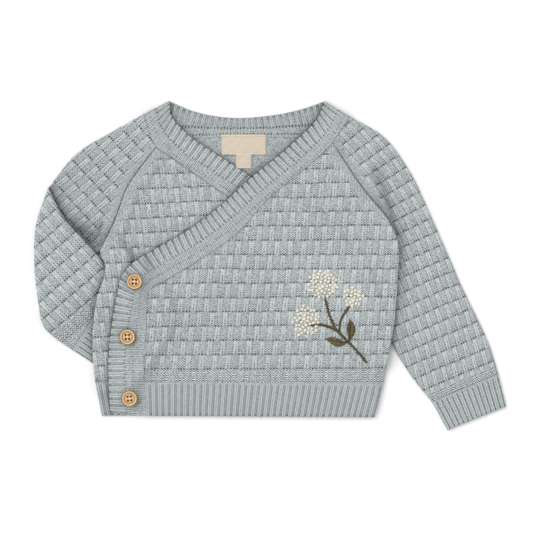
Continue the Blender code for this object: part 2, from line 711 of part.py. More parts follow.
def make_button(name, centre, seat):
    """A turned button with a raised rim, a dished middle and four holes."""
    profile = [  # (radius, height) as shares of the button's
        (0.0, 0.0), (0.8, 0.0), (1.0, 0.3), (1.0, 0.75), (0.9, 1.0), (0.68, 0.7), (0.0, 0.6),
    ]
    bm = bmesh.new()
    spots = [
        bm.verts.new((r * BUTTON_RADIUS * MM, 0.0, z * BUTTON_HEIGHT * MM)) for r, z in profile
    ]
    edges = [bm.edges.new(pair) for pair in zip(spots, spots[1:])]
    bmesh.ops.spin(
        bm, geom=spots + edges, axis=(0, 0, 1), cent=(0, 0, 0), steps=20, angle=2 * math.pi
    )
    bmesh.ops.remove_doubles(bm, verts=bm.verts[:], dist=1e-6)
    made = finish(bm, name, "wood")
    made.location = (centre[0] * MM, centre[1] * MM, (seat + SEAM_GAP) * MM)
    cutter_bm = bmesh.new()
    for i in range(4):
        turn = math.pi / 4 + i * math.pi / 2
        hole = bmesh.ops.create_cone(
            cutter_bm, cap_ends=True, segments=6, radius1=HOLE_RADIUS * MM, radius2=HOLE_RADIUS * MM,
            depth=4 * BUTTON_HEIGHT * MM,
        )
        away = HOLE_SPACING / math.sqrt(2) * MM
        shift = Vector((away * math.cos(turn), away * math.sin(turn), 0.0))
        bmesh.ops.translate(cutter_bm, verts=hole["verts"], vec=shift)
    cutter = finish(cutter_bm, name + "_holes", "wood")
    cutter.location = made.location
    cutter.hide_render = True
    cutter.display_type = "WIRE"
    cut = made.modifiers.new("holes", "BOOLEAN")
    cut.operation = "DIFFERENCE"
    cut.object = cutter
    return made


def make_label(name, centre, size, ground, over):
    """A rectangle of woven tape, lying on the named pieces."""
    corners = np.array([(-1, -1), (1, -1), (1, 1), (-1, 1)]) * np.array(size) / 2 + np.array(centre)
    closed = np.vstack([corners, corners[:1]])
    outline = ring(*[curve(closed[i:i + 2], DRAPE_STEP) for i in range(4)])
    under = ground.under([outline], over)
    points = plain_points(outline, under)
    return cloth(name, with_relief(outline), points, under, ground, LABEL_WALL, "label")


def make_cardigan():
    ground = Ground()
    left_band = through(band_shape(LEFT_BAND, BAND_RIB_PITCH), LEFT_RAGLAN_TOP, LEFT_HEM_END)
    right_band = through(
        band_shape(RIGHT_BAND, BAND_RIB_PITCH, RIGHT_BAND_SHOWN), RIGHT_RAGLAN_TOP, RIGHT_HEM_END
    )
    left_hem = band_shape(LEFT_HEM, HEM_RIB_PITCH, row_shares=HEM_ROWS)
    right_hem = band_shape(RIGHT_HEM, HEM_RIB_PITCH, RIGHT_HEM_SHOWN, HEM_ROWS)
    back_hem = band_shape(BACK_HEM, HEM_RIB_PITCH, 0.0, seam_relief=0.0)
    left_shoulder = part_of(left_band.seam, left_band.seam[0], LEFT_RAGLAN_TOP)
    right_shoulder = part_of(right_band.seam, right_band.seam[0], RIGHT_RAGLAN_TOP)
    neckband = neckband_shape(left_shoulder, right_shoulder)
    left_raglan = curve([left_shoulder[-1]] + LEFT_RAGLAN)
    right_raglan = curve([right_shoulder[-1]] + RIGHT_RAGLAN)
    left_side, right_side = curve(LEFT_SIDE), curve(RIGHT_SIDE)
    back = ring(
        left_raglan, left_side, back_hem.seam[::-1], right_side[::-1], right_raglan[::-1],
        neckband.seam,
    )
    left_front = ring(
        left_raglan, left_side, left_hem.seam[::-1],
        part_of(left_band.seam, LEFT_HEM_END, left_raglan[0]),
    )
    right_front = ring(
        part_of(right_band.seam, right_raglan[0], RIGHT_HEM_END), right_hem.seam[::-1],
        right_side[::-1], right_raglan[::-1],
    )

    make_left_sleeve(left_shoulder, left_raglan, ground)
    make_cuff("left_cuff", LEFT_CUFF, ground)
    make_right_sleeve(right_shoulder, right_raglan, ground)
    make_cuff("right_cuff", RIGHT_CUFF, ground)

    under = ground.under(
        [back, back_hem.outline, neckband.outline],
        ["left_sleeve", "right_sleeve", "right_cuff"],
        [left_shoulder, left_raglan, right_shoulder, right_raglan],
    )
    cloth("back", with_relief(back), plain_points(back, under), under, ground)
    make_band("back_hem", back_hem, under, ground)
    make_band("back_neckband", neckband, under, ground)
    make_label("size_tab", TAB_CENTRE, TAB_SIZE, ground, ["back", "back_neckband"])
    make_label("neck_label", LABEL_CENTRE, LABEL_SIZE, ground, ["back", "back_neckband", "size_tab"])

    beneath = ["back", "back_hem", "back_neckband"]
    under = ground.under([right_front, right_hem.outline, right_band.outline], beneath)
    covers = [left_band.outline[:, :2], left_front]
    points = panel_points(right_front, GRAIN["right_front"], BLOCK_PITCH, under, covers)
    cloth("right_front", with_relief(right_front, BLOCK_HEIGHT / 2), points, under, ground)
    make_band("right_front_hem", right_hem, under, ground)
    make_band("right_front_band", right_band, under, ground)

    beneath += ["right_front", "right_front_hem", "right_front_band"]
    under = ground.under([left_front, left_hem.outline, left_band.outline], beneath)
    points = panel_points(left_front, GRAIN["left_front"], BLOCK_PITCH, under)
    cloth("left_front", with_relief(left_front, BLOCK_HEIGHT / 2), points, under, ground)
    make_band("left_front_hem", left_hem, under, ground)
    make_band("left_front_band", left_band, under, ground)
    for number, centre in enumerate(BUTTONS, start=1):
        seat = ground.top_near(centre, BUTTON_RADIUS + CELL, "left_front_band")
        make_button(f"button_{number}", centre, seat)


for old in list(bpy.data.objects):
    bpy.data.objects.remove(old)
make_cardigan()
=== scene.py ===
"""The looks of a baby's wrap cardigan in basketweave knit, laid flat.

Every knitted piece is a thin shell on its solid's form. Its net of points follows the knit's own wales and
courses, so that the basketweave, the ribs and the stitches are raised in it, and the yarn's colour, with
painted light and shade on the stitches and painted shade in the holes between them, is worked out from
the same two coordinates. Sizes are in millimetres until a mesh is made. "Left" and "right" are the wearer's.
"""

import math
from collections import namedtuple

import bpy
import numpy as np
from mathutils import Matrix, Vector, kdtree, noise
from mathutils.bvhtree import BVHTree
from mathutils.geometry import delaunay_2d_cdt


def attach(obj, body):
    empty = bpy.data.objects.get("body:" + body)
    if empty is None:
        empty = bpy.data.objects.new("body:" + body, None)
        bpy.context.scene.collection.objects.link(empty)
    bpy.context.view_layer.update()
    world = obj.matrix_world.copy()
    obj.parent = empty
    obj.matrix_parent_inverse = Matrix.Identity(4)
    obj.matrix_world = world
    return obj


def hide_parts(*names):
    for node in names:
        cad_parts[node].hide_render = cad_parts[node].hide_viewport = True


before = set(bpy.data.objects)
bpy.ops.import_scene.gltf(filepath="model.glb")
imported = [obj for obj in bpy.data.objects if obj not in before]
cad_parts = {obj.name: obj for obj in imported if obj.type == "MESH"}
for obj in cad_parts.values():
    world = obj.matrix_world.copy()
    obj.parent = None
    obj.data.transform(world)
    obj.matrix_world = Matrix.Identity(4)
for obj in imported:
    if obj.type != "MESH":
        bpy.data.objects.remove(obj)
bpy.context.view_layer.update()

MM = 0.001

# The knit
WALL = 1.8
TUBE_WALL = 3.9  # a sleeve's two layers
RELIEF = 0.9  # what the stitches and blocks stand over the wall
LAYER_GAP = 0.3
ROW_COURSES = 6  # courses in a row of blocks
BLOCK_WALES = 4  # one knit wale and three purl wales
COURSE = 2.2
BAND_WALE = 3.3
HEM_WALE = 2.95
CUFF_WALE = 2.5
CUFF_STEP = 0.45  # its net's step round the cuff
CUFF_ROWS = 42  # its net's rows, from the free edge to the seam

YARN = (0.343, 0.374, 0.378)

# How a layer falls over what lies under it
CELL = 1.5
DRAPE_REACH = 9.0
DRAPE_SMOOTH = 4.0
FOREARM_SMOOTH = 18.0

# How a neck edge stands up, how flat the layers lie pressed along the foot, how a sleeve rises to the
# shoulder, and how far a purl wale draws back a loose edge
LIP_RISE = 1.3
LIP_WIDTH = 7.0
FOOT_PRESS = 0.5
FOOT_WIDTH = 16.0
SHOULDER_RISE = 2.8
SHOULDER_WIDTH = 18.0
SCALLOP = 0.55

WAVER_SEED = 1  # Blender's noise starts from the clock where it isn't given one
noise.seed_set(WAVER_SEED)

# The garment
HEM_LINE = -108.2

# Bands as sections from the free edge to the seam: (edge_x, edge_y, seam_x, seam_y)
LEFT_BAND = [
    (50.4, 153.5, 74.2, 138.6),
    (43.3, 136.1, 57.6, 114.0),
    (21.1, 113.9, 39.0, 95.9),
    (-18.1, 81.4, -2.0, 62.0),
    (-49.7, 52.8, -31.3, 29.5),
    (-81.2, 30.0, -68.5, 3.5),
    (-109.0, 14.0, -94.0, -12.0),
    (-130.0, 0.0, -109.0, -20.5),
    (-138.2, -10.9, -113.6, -27.0),
    (-141.7, -26.3, -114.4, -36.0),
    (-147.0, -55.9, -115.4, -58.0),
    (-150.2, -88.0, -117.4, -88.0),
    (-149.8, -112.0, -116.6, -112.0),
    (-148.8, -137.5, -115.6, -140.0),
]
RIGHT_BAND = [
    (-94.0, 153.5, -118.4, 140.8),
    (-90.5, 136.5, -106.0, 110.0),
    (-78.0, 123.0, -92.5, 101.0),
    (-46.5, 101.2, -63.0, 80.0),
    (-18.1, 82.5, -36.0, 61.0),
    (6.1, 62.0, -12.3, 37.0),
    (37.6, 36.0, 23.9, 8.5),
    (62.0, 16.0, 46.0, -8.0),
    (82.0, -8.0, 57.0, -24.0),
    (88.0, -32.0, 60.0, -40.0),
    (90.0, -70.0, 61.0, -70.0),
    (89.0, -108.2, 61.0, -108.2),
    (87.0, -139.6, 61.0, -139.6),
]
NECKBAND = [
    (-94.2, 153.2, -106.0, 110.0),
    (-72.1, 144.1, -80.0, 116.6),
    (-36.5, 137.8, -38.0, 119.6),
    (-9.8, 138.8, -6.0, 119.6),
    (27.4, 145.5, 34.0, 118.0),
    (50.6, 153.2, 57.6, 114.0),
]
LEFT_HEM = [(-115.6, -140.0, -116.6, HEM_LINE), (96.3, -141.4, 105.1, HEM_LINE)]
RIGHT_HEM = [(-157.4, -139.8, -163.0, HEM_LINE), (61.0, -139.6, 61.0, HEM_LINE)]
BACK_HEM = [(-157.4, -139.8, -163.0, HEM_LINE), (96.3, -141.4, 105.1, HEM_LINE)]
LEFT_CUFF = [(164.4, -153.3, 150.2, -126.9), (219.4, -131.1, 211.9, -100.9)]
RIGHT_CUFF = [(-125.4, -46.2, -148.1, -22.3), (-157.7, -96.0, -184.6, -78.6)]
LEFT_RAGLAN_TOP = (57.6, 114.0)
RIGHT_RAGLAN_TOP = (-106.0, 110.0)
LEFT_HEM_END = (-116.6, HEM_LINE)
RIGHT_HEM_END = (61.0, HEM_LINE)

# Edges as (x, y) knots of a smooth curve, from the neck down
LEFT_RAGLAN = [(84.5, 73.5), (109.0, 43.4)]
LEFT_SIDE = [(109.0, 43.4), (117.6, 25.6), (118.0, -14.0), (114.6, -55.9), (105.1, HEM_LINE)]
RIGHT_RAGLAN = [(-134.9, 68.6), (-142.5, 47.0), (-158.0, 13.0)]
RIGHT_SIDE = [(-158.0, 13.0), (-153.7, 0.0), (-161.9, -33.9), (-165.4, -73.0), (-163.0, HEM_LINE)]

# Sleeves
LEFT_SLEEVE_FOLD = [
    (105.1, 120.2), (127.2, 91.7), (149.5, 45.8), (177.9, -19.4), (204.9, -78.0), (211.9, -100.9),
]
LEFT_UNDERARM = [
    (109.0, 43.4), (101.0, 18.0), (99.5, -28.0), (113.7, -73.9), (136.0, -109.5), (150.2, -126.9),
]
UPPER_ARM_TOP = [(-150.6, 123.0), (-180.6, 104.2), (-206.6, 72.6)]
RIGHT_SLEEVE_FOLD = [(-206.6, 72.6), (-218.0, 38.0), (-219.6, 0.0), (-214.4, -46.4)]
RIGHT_UNDERARM = [(-214.4, -46.4), (-190.0, -17.0), (-158.0, 13.0)]
FOREARM_LOWER_EDGE = [(-214.4, -46.4), (-211.0, -56.5), (-200.0, -67.5), (-184.6, -78.6)]
FOREARM_UPPER_EDGE = [
    (-148.1, -22.3), (-153.5, 0.5), (-170.3, 20.8), (-191.7, 44.3), (-206.6, 72.6),
]

# How the knit lies on each panel. A point of wale u and course v is at
# origin + u * wale + v * course + u * v * fan + v * v * bend, and where v is above 0, with v * (u * swing +
# v * turn) added.
Grain = namedtuple("Grain", "origin wale course fan bend swing turn", defaults=[(0.0, 0.0)] * 4)
GRAINS = {
    "left_front": Grain((-0.4, 22.9), (3.03, 0.016), (0.195, 2.21), (-0.0006, 0.0)),
    "right_front": Grain((-110.0, 16.6), (2.77, 0.116), (-0.267, 2.25)),
    "left_sleeve": Grain(
        (140.0, 10.0), (2.31, 0.98), (-0.80, 2.03), bend=(-0.0022, -0.0009), swing=(-0.006, 0.009),
        turn=(-0.0033, -0.0036),
    ),
    "upper_arm": Grain((-150.0, 80.0), (1.95, -2.1), (1.67, 1.46)),
    "forearm": Grain((-185.0, -10.0), (2.07, 1.77), (-1.59, 1.72)),
    "back": Grain((-20.0, 60.0), (3.03, 0.0), (0.0, 2.21)),
}

# Soft folds: (x, y, angle, half_length, half_width, height)
FOLDS = {
    "left_sleeve": [
        (101.0, 63.0, -62.0, 26.0, 5.0, 3.2),
        (108.5, 61.0, -72.0, 34.0, 3.8, -1.6),
        (122.0, 56.0, -68.0, 24.0, 6.0, 1.2),
        (121.0, 10.0, -88.0, 22.0, 5.0, -1.0),
    ],
    "upper_arm": [
        (-150.0, 38.0, 52.0, 22.0, 4.5, 2.2),
        (-163.0, 29.0, 60.0, 12.0, 5.0, -1.6),
        (-163.0, 19.5, 38.0, 7.0, 3.0, 1.6),
    ],
    "forearm": [
        (-181.0, 24.0, -50.0, 36.0, 6.0, 1.8),
        (-196.0, 58.0, -52.0, 30.0, 7.0, 1.5),
        (-172.0, -30.0, -48.0, 45.0, 14.0, 1.2),
    ],
}

SLEEVE_NAMES = {
    "left_sleeve": "left_sleeve_knit",
    "upper_arm": "right_upper_arm_knit",
    "forearm": "right_forearm_knit",
}

BUTTONS = [(-125.9, -14.9), (-132.5, -66.2), (-130.6, -123.3)]
LABEL_CENTRE = (-24.9, 112.6)
LABEL_SIZE = (41.7, 19.0)
TAB_CENTRE = (-24.9, 97.0)
TAB_SIZE = (14.9, 13.6)
LABEL_WALL = 0.8


# Curves and outlines in the plane

def reach_along(knots):
    """The distance from the first knot to each knot."""
    steps = np.linalg.norm(np.diff(knots, axis=0), axis=1)
    return np.concatenate([[0], np.cumsum(steps)])


def smooth(knots, shares):
    """Rows at the given shares of a smooth curve through the knots."""
    knots = np.array(knots, float)
    reach = reach_along(knots)
    at = np.asarray(shares) * reach[-1]
    slope = np.gradient(knots, reach, axis=0)
    span = np.clip(np.searchsorted(reach, at, side="right") - 1, 0, len(reach) - 2)
    length = (reach[span + 1] - reach[span])[:, None]
    t = (at - reach[span])[:, None] / length
    return (
        knots[span] * (1 + 2 * t) * (1 - t) ** 2
        + slope[span] * length * t * (1 - t) ** 2
        + knots[span + 1] * t * t * (3 - 2 * t)
        + slope[span + 1] * length * t * t * (t - 1)
    )


def curve(knots, step=1.0):
    """Points about a step apart on a smooth curve through the knots."""
    count = max(1, round(reach_along(np.array(knots, float))[-1] / step))
    return smooth(knots, np.linspace(0, 1, count + 1))


def part_of(line, start, end):
    """The stretch of a line between the points nearest to start and end, either way round."""
    i = np.argmin(np.linalg.norm(line - np.array(start), axis=1))
    k = np.argmin(np.linalg.norm(line - np.array(end), axis=1))
    stretch = line[i:k + 1] if i <= k else line[k:i + 1][::-1]
    stretch = stretch.copy()
    stretch[0], stretch[-1] = start, end
    return stretch


def band_length(sections):
    """A band's length, midway between its two edges."""
    sections = np.array(sections, float)
    return reach_along((sections[:, :2] + sections[:, 2:]) / 2)[-1]


def band_lines(sections, step=1.0):
    """Rows of a band's two edges, a step apart."""
    return smooth(sections, np.linspace(0, 1, round(band_length(sections) / step) + 1))


def seam_of(sections):
    """The line along which a band is sewn on."""
    return band_lines(sections)[:, 2:]


def is_inside(points, outline):
    """Which points lie inside a closed outline."""
    x, y = points[:, 0], points[:, 1]
    inside = np.zeros(len(points), bool)
    for (ax, ay), (bx, by) in zip(outline, np.roll(outline, -1, axis=0)):
        if ay != by:
            near = (ay > y) != (by > y)
            inside[near] ^= x[near] < ax + (y[near] - ay) * (bx - ax) / (by - ay)
    return inside


def inward(loop):
    """Unit vectors across a closed anticlockwise loop, on its inner side."""
    along = np.roll(loop, -1, axis=0) - np.roll(loop, 1, axis=0)
    along /= np.maximum(np.linalg.norm(along, axis=1), 1e-9)[:, None]
    return np.stack([-along[:, 1], along[:, 0]], axis=1)


def room_at(loop):
    """How far each point of a closed loop may move inwards, which is less beside sharp corners."""
    before = loop - np.roll(loop, 1, axis=0)
    after = np.roll(loop, -1, axis=0) - loop
    cross = before[:, 0] * after[:, 1] - before[:, 1] * after[:, 0]
    sharp = loop[np.abs(np.arctan2(cross, np.sum(before * after, axis=1))) > math.radians(30)]
    if not len(sharp):
        return np.full(len(loop), 9.0)
    return 0.01 + 0.18 * np.min(np.linalg.norm(loop[:, None] - sharp[None], axis=2), axis=1)


def away_from(line, points):
    """How far each point is from a line of points."""
    if not len(line):
        return np.full(len(points), 50.0)
    tree = kdtree.KDTree(len(line))
    for i, (x, y) in enumerate(line):
        tree.insert((x, y, 0.0), i)
    tree.balance()
    return np.array([tree.find((x, y, 0.0))[2] for x, y in points])


class Outline:
    """A closed edge made of chains (kind, points), where kind names how the cloth ends there."""

    def __init__(self, *chains):
        self.points = np.vstack([line[:-1] for _, line in chains])
        self.kinds = np.concatenate([[kind] * (len(line) - 1) for kind, line in chains])
        x, y = self.points.T
        if np.sum(x * np.roll(y, -1) - y * np.roll(x, -1)) < 0:
            self.points = self.points[::-1]
            self.kinds = np.roll(self.kinds[::-1], -1)
        closed = np.vstack([self.points, self.points[:1]])
        self.reach = reach_along(closed)
        spots = np.linspace(0, self.reach[-1], 4 * len(self.points), endpoint=False)
        self.spots, self.spot_reach = self.at(spots), spots
        self.spot_kinds = self.kinds[np.searchsorted(self.reach, spots, side="right") - 1]
        self.tree = kdtree.KDTree(len(spots))
        for i, (px, py) in enumerate(self.spots):
            self.tree.insert((px, py, 0.0), i)
        self.tree.balance()

    def at(self, reach):
        """The points so far along the edge."""
        closed = np.vstack([self.points, self.points[:1]])
        reach = reach % self.reach[-1]
        return np.column_stack([np.interp(reach, self.reach, closed[:, k]) for k in (0, 1)])

    def nearest(self, points):
        """For each point the nearest spot of the edge and its distance."""
        found = [self.tree.find((x, y, 0.0)) for x, y in points]
        return np.array([i for _, i, _ in found]), np.array([away for _, _, away in found])

    def away_from(self, kind, points):
        """How far each point is from the edges of a kind."""
        return away_from(self.points[self.kinds == kind], points)

    def corners(self, least=math.radians(30)):
        """How far along the edge it turns sharply."""
        before = self.points - np.roll(self.points, 1, axis=0)
        after = np.roll(self.points, -1, axis=0) - self.points
        turn = np.arctan2(
            before[:, 0] * after[:, 1] - before[:, 1] * after[:, 0], np.sum(before * after, axis=1)
        )
        return self.reach[:-1][np.abs(turn) > least]

    def drawn_on(self, loop):
        """A net's ordered edge points moved to the edge, each a little further along than the last."""
        corners, whole = self.corners(), self.reach[-1]
        start = np.argmin(np.linalg.norm(loop - self.at(corners[:1]), axis=1))
        near, _ = self.nearest(np.roll(loop, -start, axis=0))
        reach = self.spot_reach[near] - corners[0]
        reach[0] = 0
        steps = (np.diff(reach) + whole / 2) % whole - whole / 2
        reach = np.concatenate([[0], np.cumsum(steps), [whole]])
        reach = np.clip(reach, 0, whole)
        reach = (np.maximum.accumulate(reach) + np.minimum.accumulate(reach[::-1])[::-1]) / 2
        for _ in range(2):
            reach[1:-1] = (reach[:-2] + 2 * reach[1:-1] + reach[2:]) / 4
        for corner in corners[1:] - corners[0]:
            place = np.argmin(np.abs(reach - corner))
            reach[place] = corner
        return np.roll(self.at(reach[:-1] + corners[0]), start, axis=0)


# The heights at which layers lie, on a grid of cells

LOW_CORNER = np.array([-255.0, -190.0])
GRID_SIZE = (340, 260)
CELLS = np.stack(
    np.meshgrid(np.arange(GRID_SIZE[0]), np.arange(GRID_SIZE[1]), indexing="ij"), axis=-1
).reshape(-1, 2) * CELL + LOW_CORNER


def highest_near(field, radius):
    """The highest value within a radius of each cell."""
    reach = int(math.ceil(radius / CELL))
    padded = np.pad(field, reach)
    best = field.copy()
    for i in range(-reach, reach + 1):
        for j in range(-reach, reach + 1):
            if math.hypot(i, j) * CELL <= radius:
                rows = slice(reach + i, reach + i + field.shape[0])
                columns = slice(reach + j, reach + j + field.shape[1])
                best = np.maximum(best, padded[rows, columns])
    return best


def mean_near(field, radius):
    """The mean within a square of each cell."""
    reach = int(round(radius / CELL))
    for axis in (0, 1):
        field = sum(np.roll(field, k, axis=axis) for k in range(-reach, reach + 1)) / (2 * reach + 1)
    return field


def over(field, outlines, seams=(), settle=DRAPE_SMOOTH):
    """The underside of a layer with these outlines that lies on a field of heights.

    Along its seams the layer only meets what lies there edge to edge, so that is left out.
    """
    inside = np.zeros(len(CELLS), bool)
    for outline in outlines:
        inside |= is_inside(CELLS, outline.points)
    inside = highest_near(inside.reshape(GRID_SIZE).astype(float), CELL).reshape(-1) > 0
    if len(seams):
        line = np.vstack(seams)
        near = np.array([np.min(np.sum((line - cell) ** 2, axis=1)) for cell in CELLS[inside]])
        inside[inside] = near > (2 * CELL) ** 2
    field = np.where(inside.reshape(GRID_SIZE) & (field > 0), field + LAYER_GAP, 0.0)
    field = highest_near(field, DRAPE_REACH + settle)
    return mean_near(mean_near(field, settle / 2), settle / 2)


def raised(field, outlines, under, rise):
    """The field with the layer's own top laid on it."""
    for outline in outlines:
        inside = is_inside(CELLS, outline.points).reshape(GRID_SIZE)
        field = np.where(inside, np.maximum(field, under + rise), field)
    return field


def read(field, points):
    """The field at any points, between its cells."""
    place = (points[:, :2] - LOW_CORNER) / CELL
    cell = np.floor(place).astype(int)
    u, v = (place - cell).T
    i, j = cell.T
    return (
        field[i, j] * (1 - u) * (1 - v) + field[i + 1, j] * u * (1 - v)
        + field[i, j + 1] * (1 - u) * v + field[i + 1, j + 1] * u * v
    )


def wavered(spots, amount=0.45):
    """Points moved a little, as hand and wash leave no row quite straight."""
    moved = np.array([noise.noise_vector(Vector((x / 14, y / 14, 0))) for x, y in spots])[:, :2]
    broad = np.array([noise.noise_vector(Vector((x / 45, y / 45, 9))) for x, y in spots])[:, :2]
    return spots + amount * (moved + 1.6 * broad)


# Nets: points in the plane with their knit coordinates, joined in quads

Net = namedtuple("Net", "spots knit quads")


def grid_quads(rows, columns):
    """The quads of a grid of points, row by row."""
    i, j = np.meshgrid(np.arange(rows - 1), np.arange(columns - 1), indexing="ij")
    corner = (i * columns + j).reshape(-1)
    return np.stack([corner, corner + columns, corner + columns + 1, corner + 1], axis=1)


def panel_net(outline, grain, across=4, along=3):
    """A net over a panel that follows the knit; its edge is drawn out to the outline.

    across and along are how many cells it has to a wale and to a course.
    """
    origin, wale, course, fan, bend, swing, turn = (np.array(value, float) for value in grain)
    unmix = np.linalg.inv(np.array([wale, course]))
    local = (outline.points - origin) @ unmix
    low, high = np.floor(local.min(axis=0)) - 14, np.ceil(local.max(axis=0)) + 14
    u = np.arange(low[0] * across, high[0] * across + 1) / across
    v = np.arange(low[1] * along, high[1] * along + 1) / along
    knit = np.stack(np.meshgrid(u, v, indexing="ij"), axis=-1).reshape(-1, 2)
    u, v = knit[:, :1], knit[:, 1:]
    upper = np.maximum(v, 0)
    spots = origin + u * wale + v * course + u * v * fan + v * v * bend
    spots = wavered(spots + upper * (u * swing + v * turn))
    shape = (int((high[0] - low[0]) * across) + 1, int((high[1] - low[1]) * along) + 1)
    inside = is_inside(spots, outline.points).reshape(shape)
    whole = inside[:-1, :-1] & inside[1:, :-1] & inside[1:, 1:] & inside[:-1, 1:]
    pinched = True
    while np.any(pinched):
        padded = np.pad(whole, 1)
        a, b = padded[:-1, :-1], padded[1:, :-1]
        c, d = padded[:-1, 1:], padded[1:, 1:]
        rising, falling = a & d & ~b & ~c, b & c & ~a & ~d
        pinched = rising | falling
        whole &= ~(rising[:-1, :-1] | rising[1:, 1:] | falling[:-1, 1:] | falling[1:, :-1])
    quads = grid_quads(*shape)[whole.reshape(-1)]
    used, places = np.unique(quads, return_inverse=True)
    quads = places.reshape(-1, 4)
    spots, knit = spots[used], knit[used]
    if (wale[0] * course[1] - wale[1] * course[0]) < 0:
        quads = quads[:, ::-1]
    edge = edge_loop(quads)
    moved = outline.drawn_on(spots[edge])
    knit[edge] += (moved - spots[edge]) @ unmix
    spots[edge] = moved
    return Net(spots, knit, quads)


def strip_net(sections, wale, step, rows, courses=None):
    """A net along a band or hem; its wales run from the free edge to the seam.

    A band with a number of courses has as many at its narrow places.
    """
    lines = band_lines(sections, step)
    count = len(lines)
    t = np.linspace(0, 1, rows + 1)[None, :, None]
    spots = lines[:, None, :2] * (1 - t) + lines[:, None, 2:] * t
    width = np.linalg.norm(lines[:, 2:] - lines[:, :2], axis=1)
    wales = round(band_length(sections) / wale / 2) * 2
    u = np.broadcast_to(np.linspace(0, wales, count)[:, None], spots.shape[:2])
    v = t[..., 0] * (courses if courses else width[:, None] / COURSE)
    v = np.broadcast_to(v, spots.shape[:2])
    quads = grid_quads(count, rows + 1)
    spots = spots.reshape(-1, 2)
    knit = np.stack([u, v], axis=-1).reshape(-1, 2)
    a, b, c = spots[quads[0, 0]], spots[quads[0, 1]], spots[quads[0, 2]]
    if (b - a)[0] * (c - b)[1] - (b - a)[1] * (c - b)[0] < 0:
        quads = quads[:, ::-1]
    return Net(spots, knit, quads)


def strip_outline(sections, free="free", seam="seam", start="seam", end="seam", lip=0.0):
    """The outline of a band, with the kinds of its four sides and the share that stands up as a lip."""
    lines = band_lines(sections)
    side = np.linspace(0, 1, 30)[:, None]
    upright = round(lip * len(lines))
    return Outline(
        *([("lip", lines[:upright + 1, :2])] if upright else []),
        *([(free, lines[upright:, :2])] if upright < len(lines) - 1 else []),
        (end, lines[-1, :2] * (1 - side) + lines[-1, 2:] * side),
        (seam, lines[::-1, 2:]),
        (start, lines[0, 2:] * (1 - side) + lines[0, :2] * side),
    )


def edge_loop(quads):
    """The net's edge points in order, anticlockwise."""
    sides = np.vstack([quads[:, [k, (k + 1) % 4]] for k in range(4)])
    known = {tuple(side) for side in sides}
    following = {int(a): int(b) for a, b in sides if (b, a) not in known}
    loop = [next(iter(following))]
    while following[loop[-1]] != loop[0]:
        loop.append(following[loop[-1]])
        assert len(loop) <= len(following), "the net's edge meets itself"
    assert len(loop) == len(following), f"{len(following) - len(loop)} edge points are left over"
    return np.array(loop)


# The knit's patterns, of wales u and courses v, for heights and for colours alike

def wave(x):
    """The cosine of a whole turn for each 1."""
    return (x * (2 * math.pi)).cos() if isinstance(x, Value) else np.cos(2 * np.pi * x)


def floor(x):
    return x.floor() if isinstance(x, Value) else np.floor(x)


def held(x):
    """Held between 0 and 1."""
    return x.held() if isinstance(x, Value) else np.clip(x, 0, 1)


def hump(x, centre, width):
    """1 at the centre, falling to 0 at a width to either side."""
    side = (x - centre) / width
    return held(1 - side * side)


def ramp(x, low, high):
    """A soft rise from 0 at low to 1 at high."""
    t = held((x - low) / (high - low))
    return t * t * (3 - 2 * t)


def mixed(share, one, other):
    """One number faded into another."""
    return one * (1 - share) + other * share


def uneven(u, v):
    """A number between 0 and 1 for each stitch that seems to be a matter of chance."""
    return (97.3 * wave(0.317 * floor(u) + 0.231 * floor(v))) % 1.0


def plain_knit(u, v):
    """Plain knit's height and shade: two slanting legs to a stitch and a slit between them."""
    x = abs(u % 1.0 - 0.5)
    leg = hump(x - 0.08 * (v % 1.0), 0.24, 0.22)
    slit = hump(x, 0.0, 0.15) * (0.6 - 0.4 * wave(v)) + hump(x, 0.5, 0.1)
    # Painted light and shade of the stitch: a painted highlight on the legs and painted shade in the slits
    shade = 0.93 + 0.36 * leg - (0.24 + 0.36 * uneven(u, v)) * slit + 0.16 * wave(v) * wave(u)
    return 0.3 + 0.3 * leg, shade


def purl_arcs(u, v):
    """The interlocked arcs of purl, from -1 to 1."""
    return 0.75 * wave(u) * wave(v) + 0.25 * wave(v + 0.25 * wave(u))


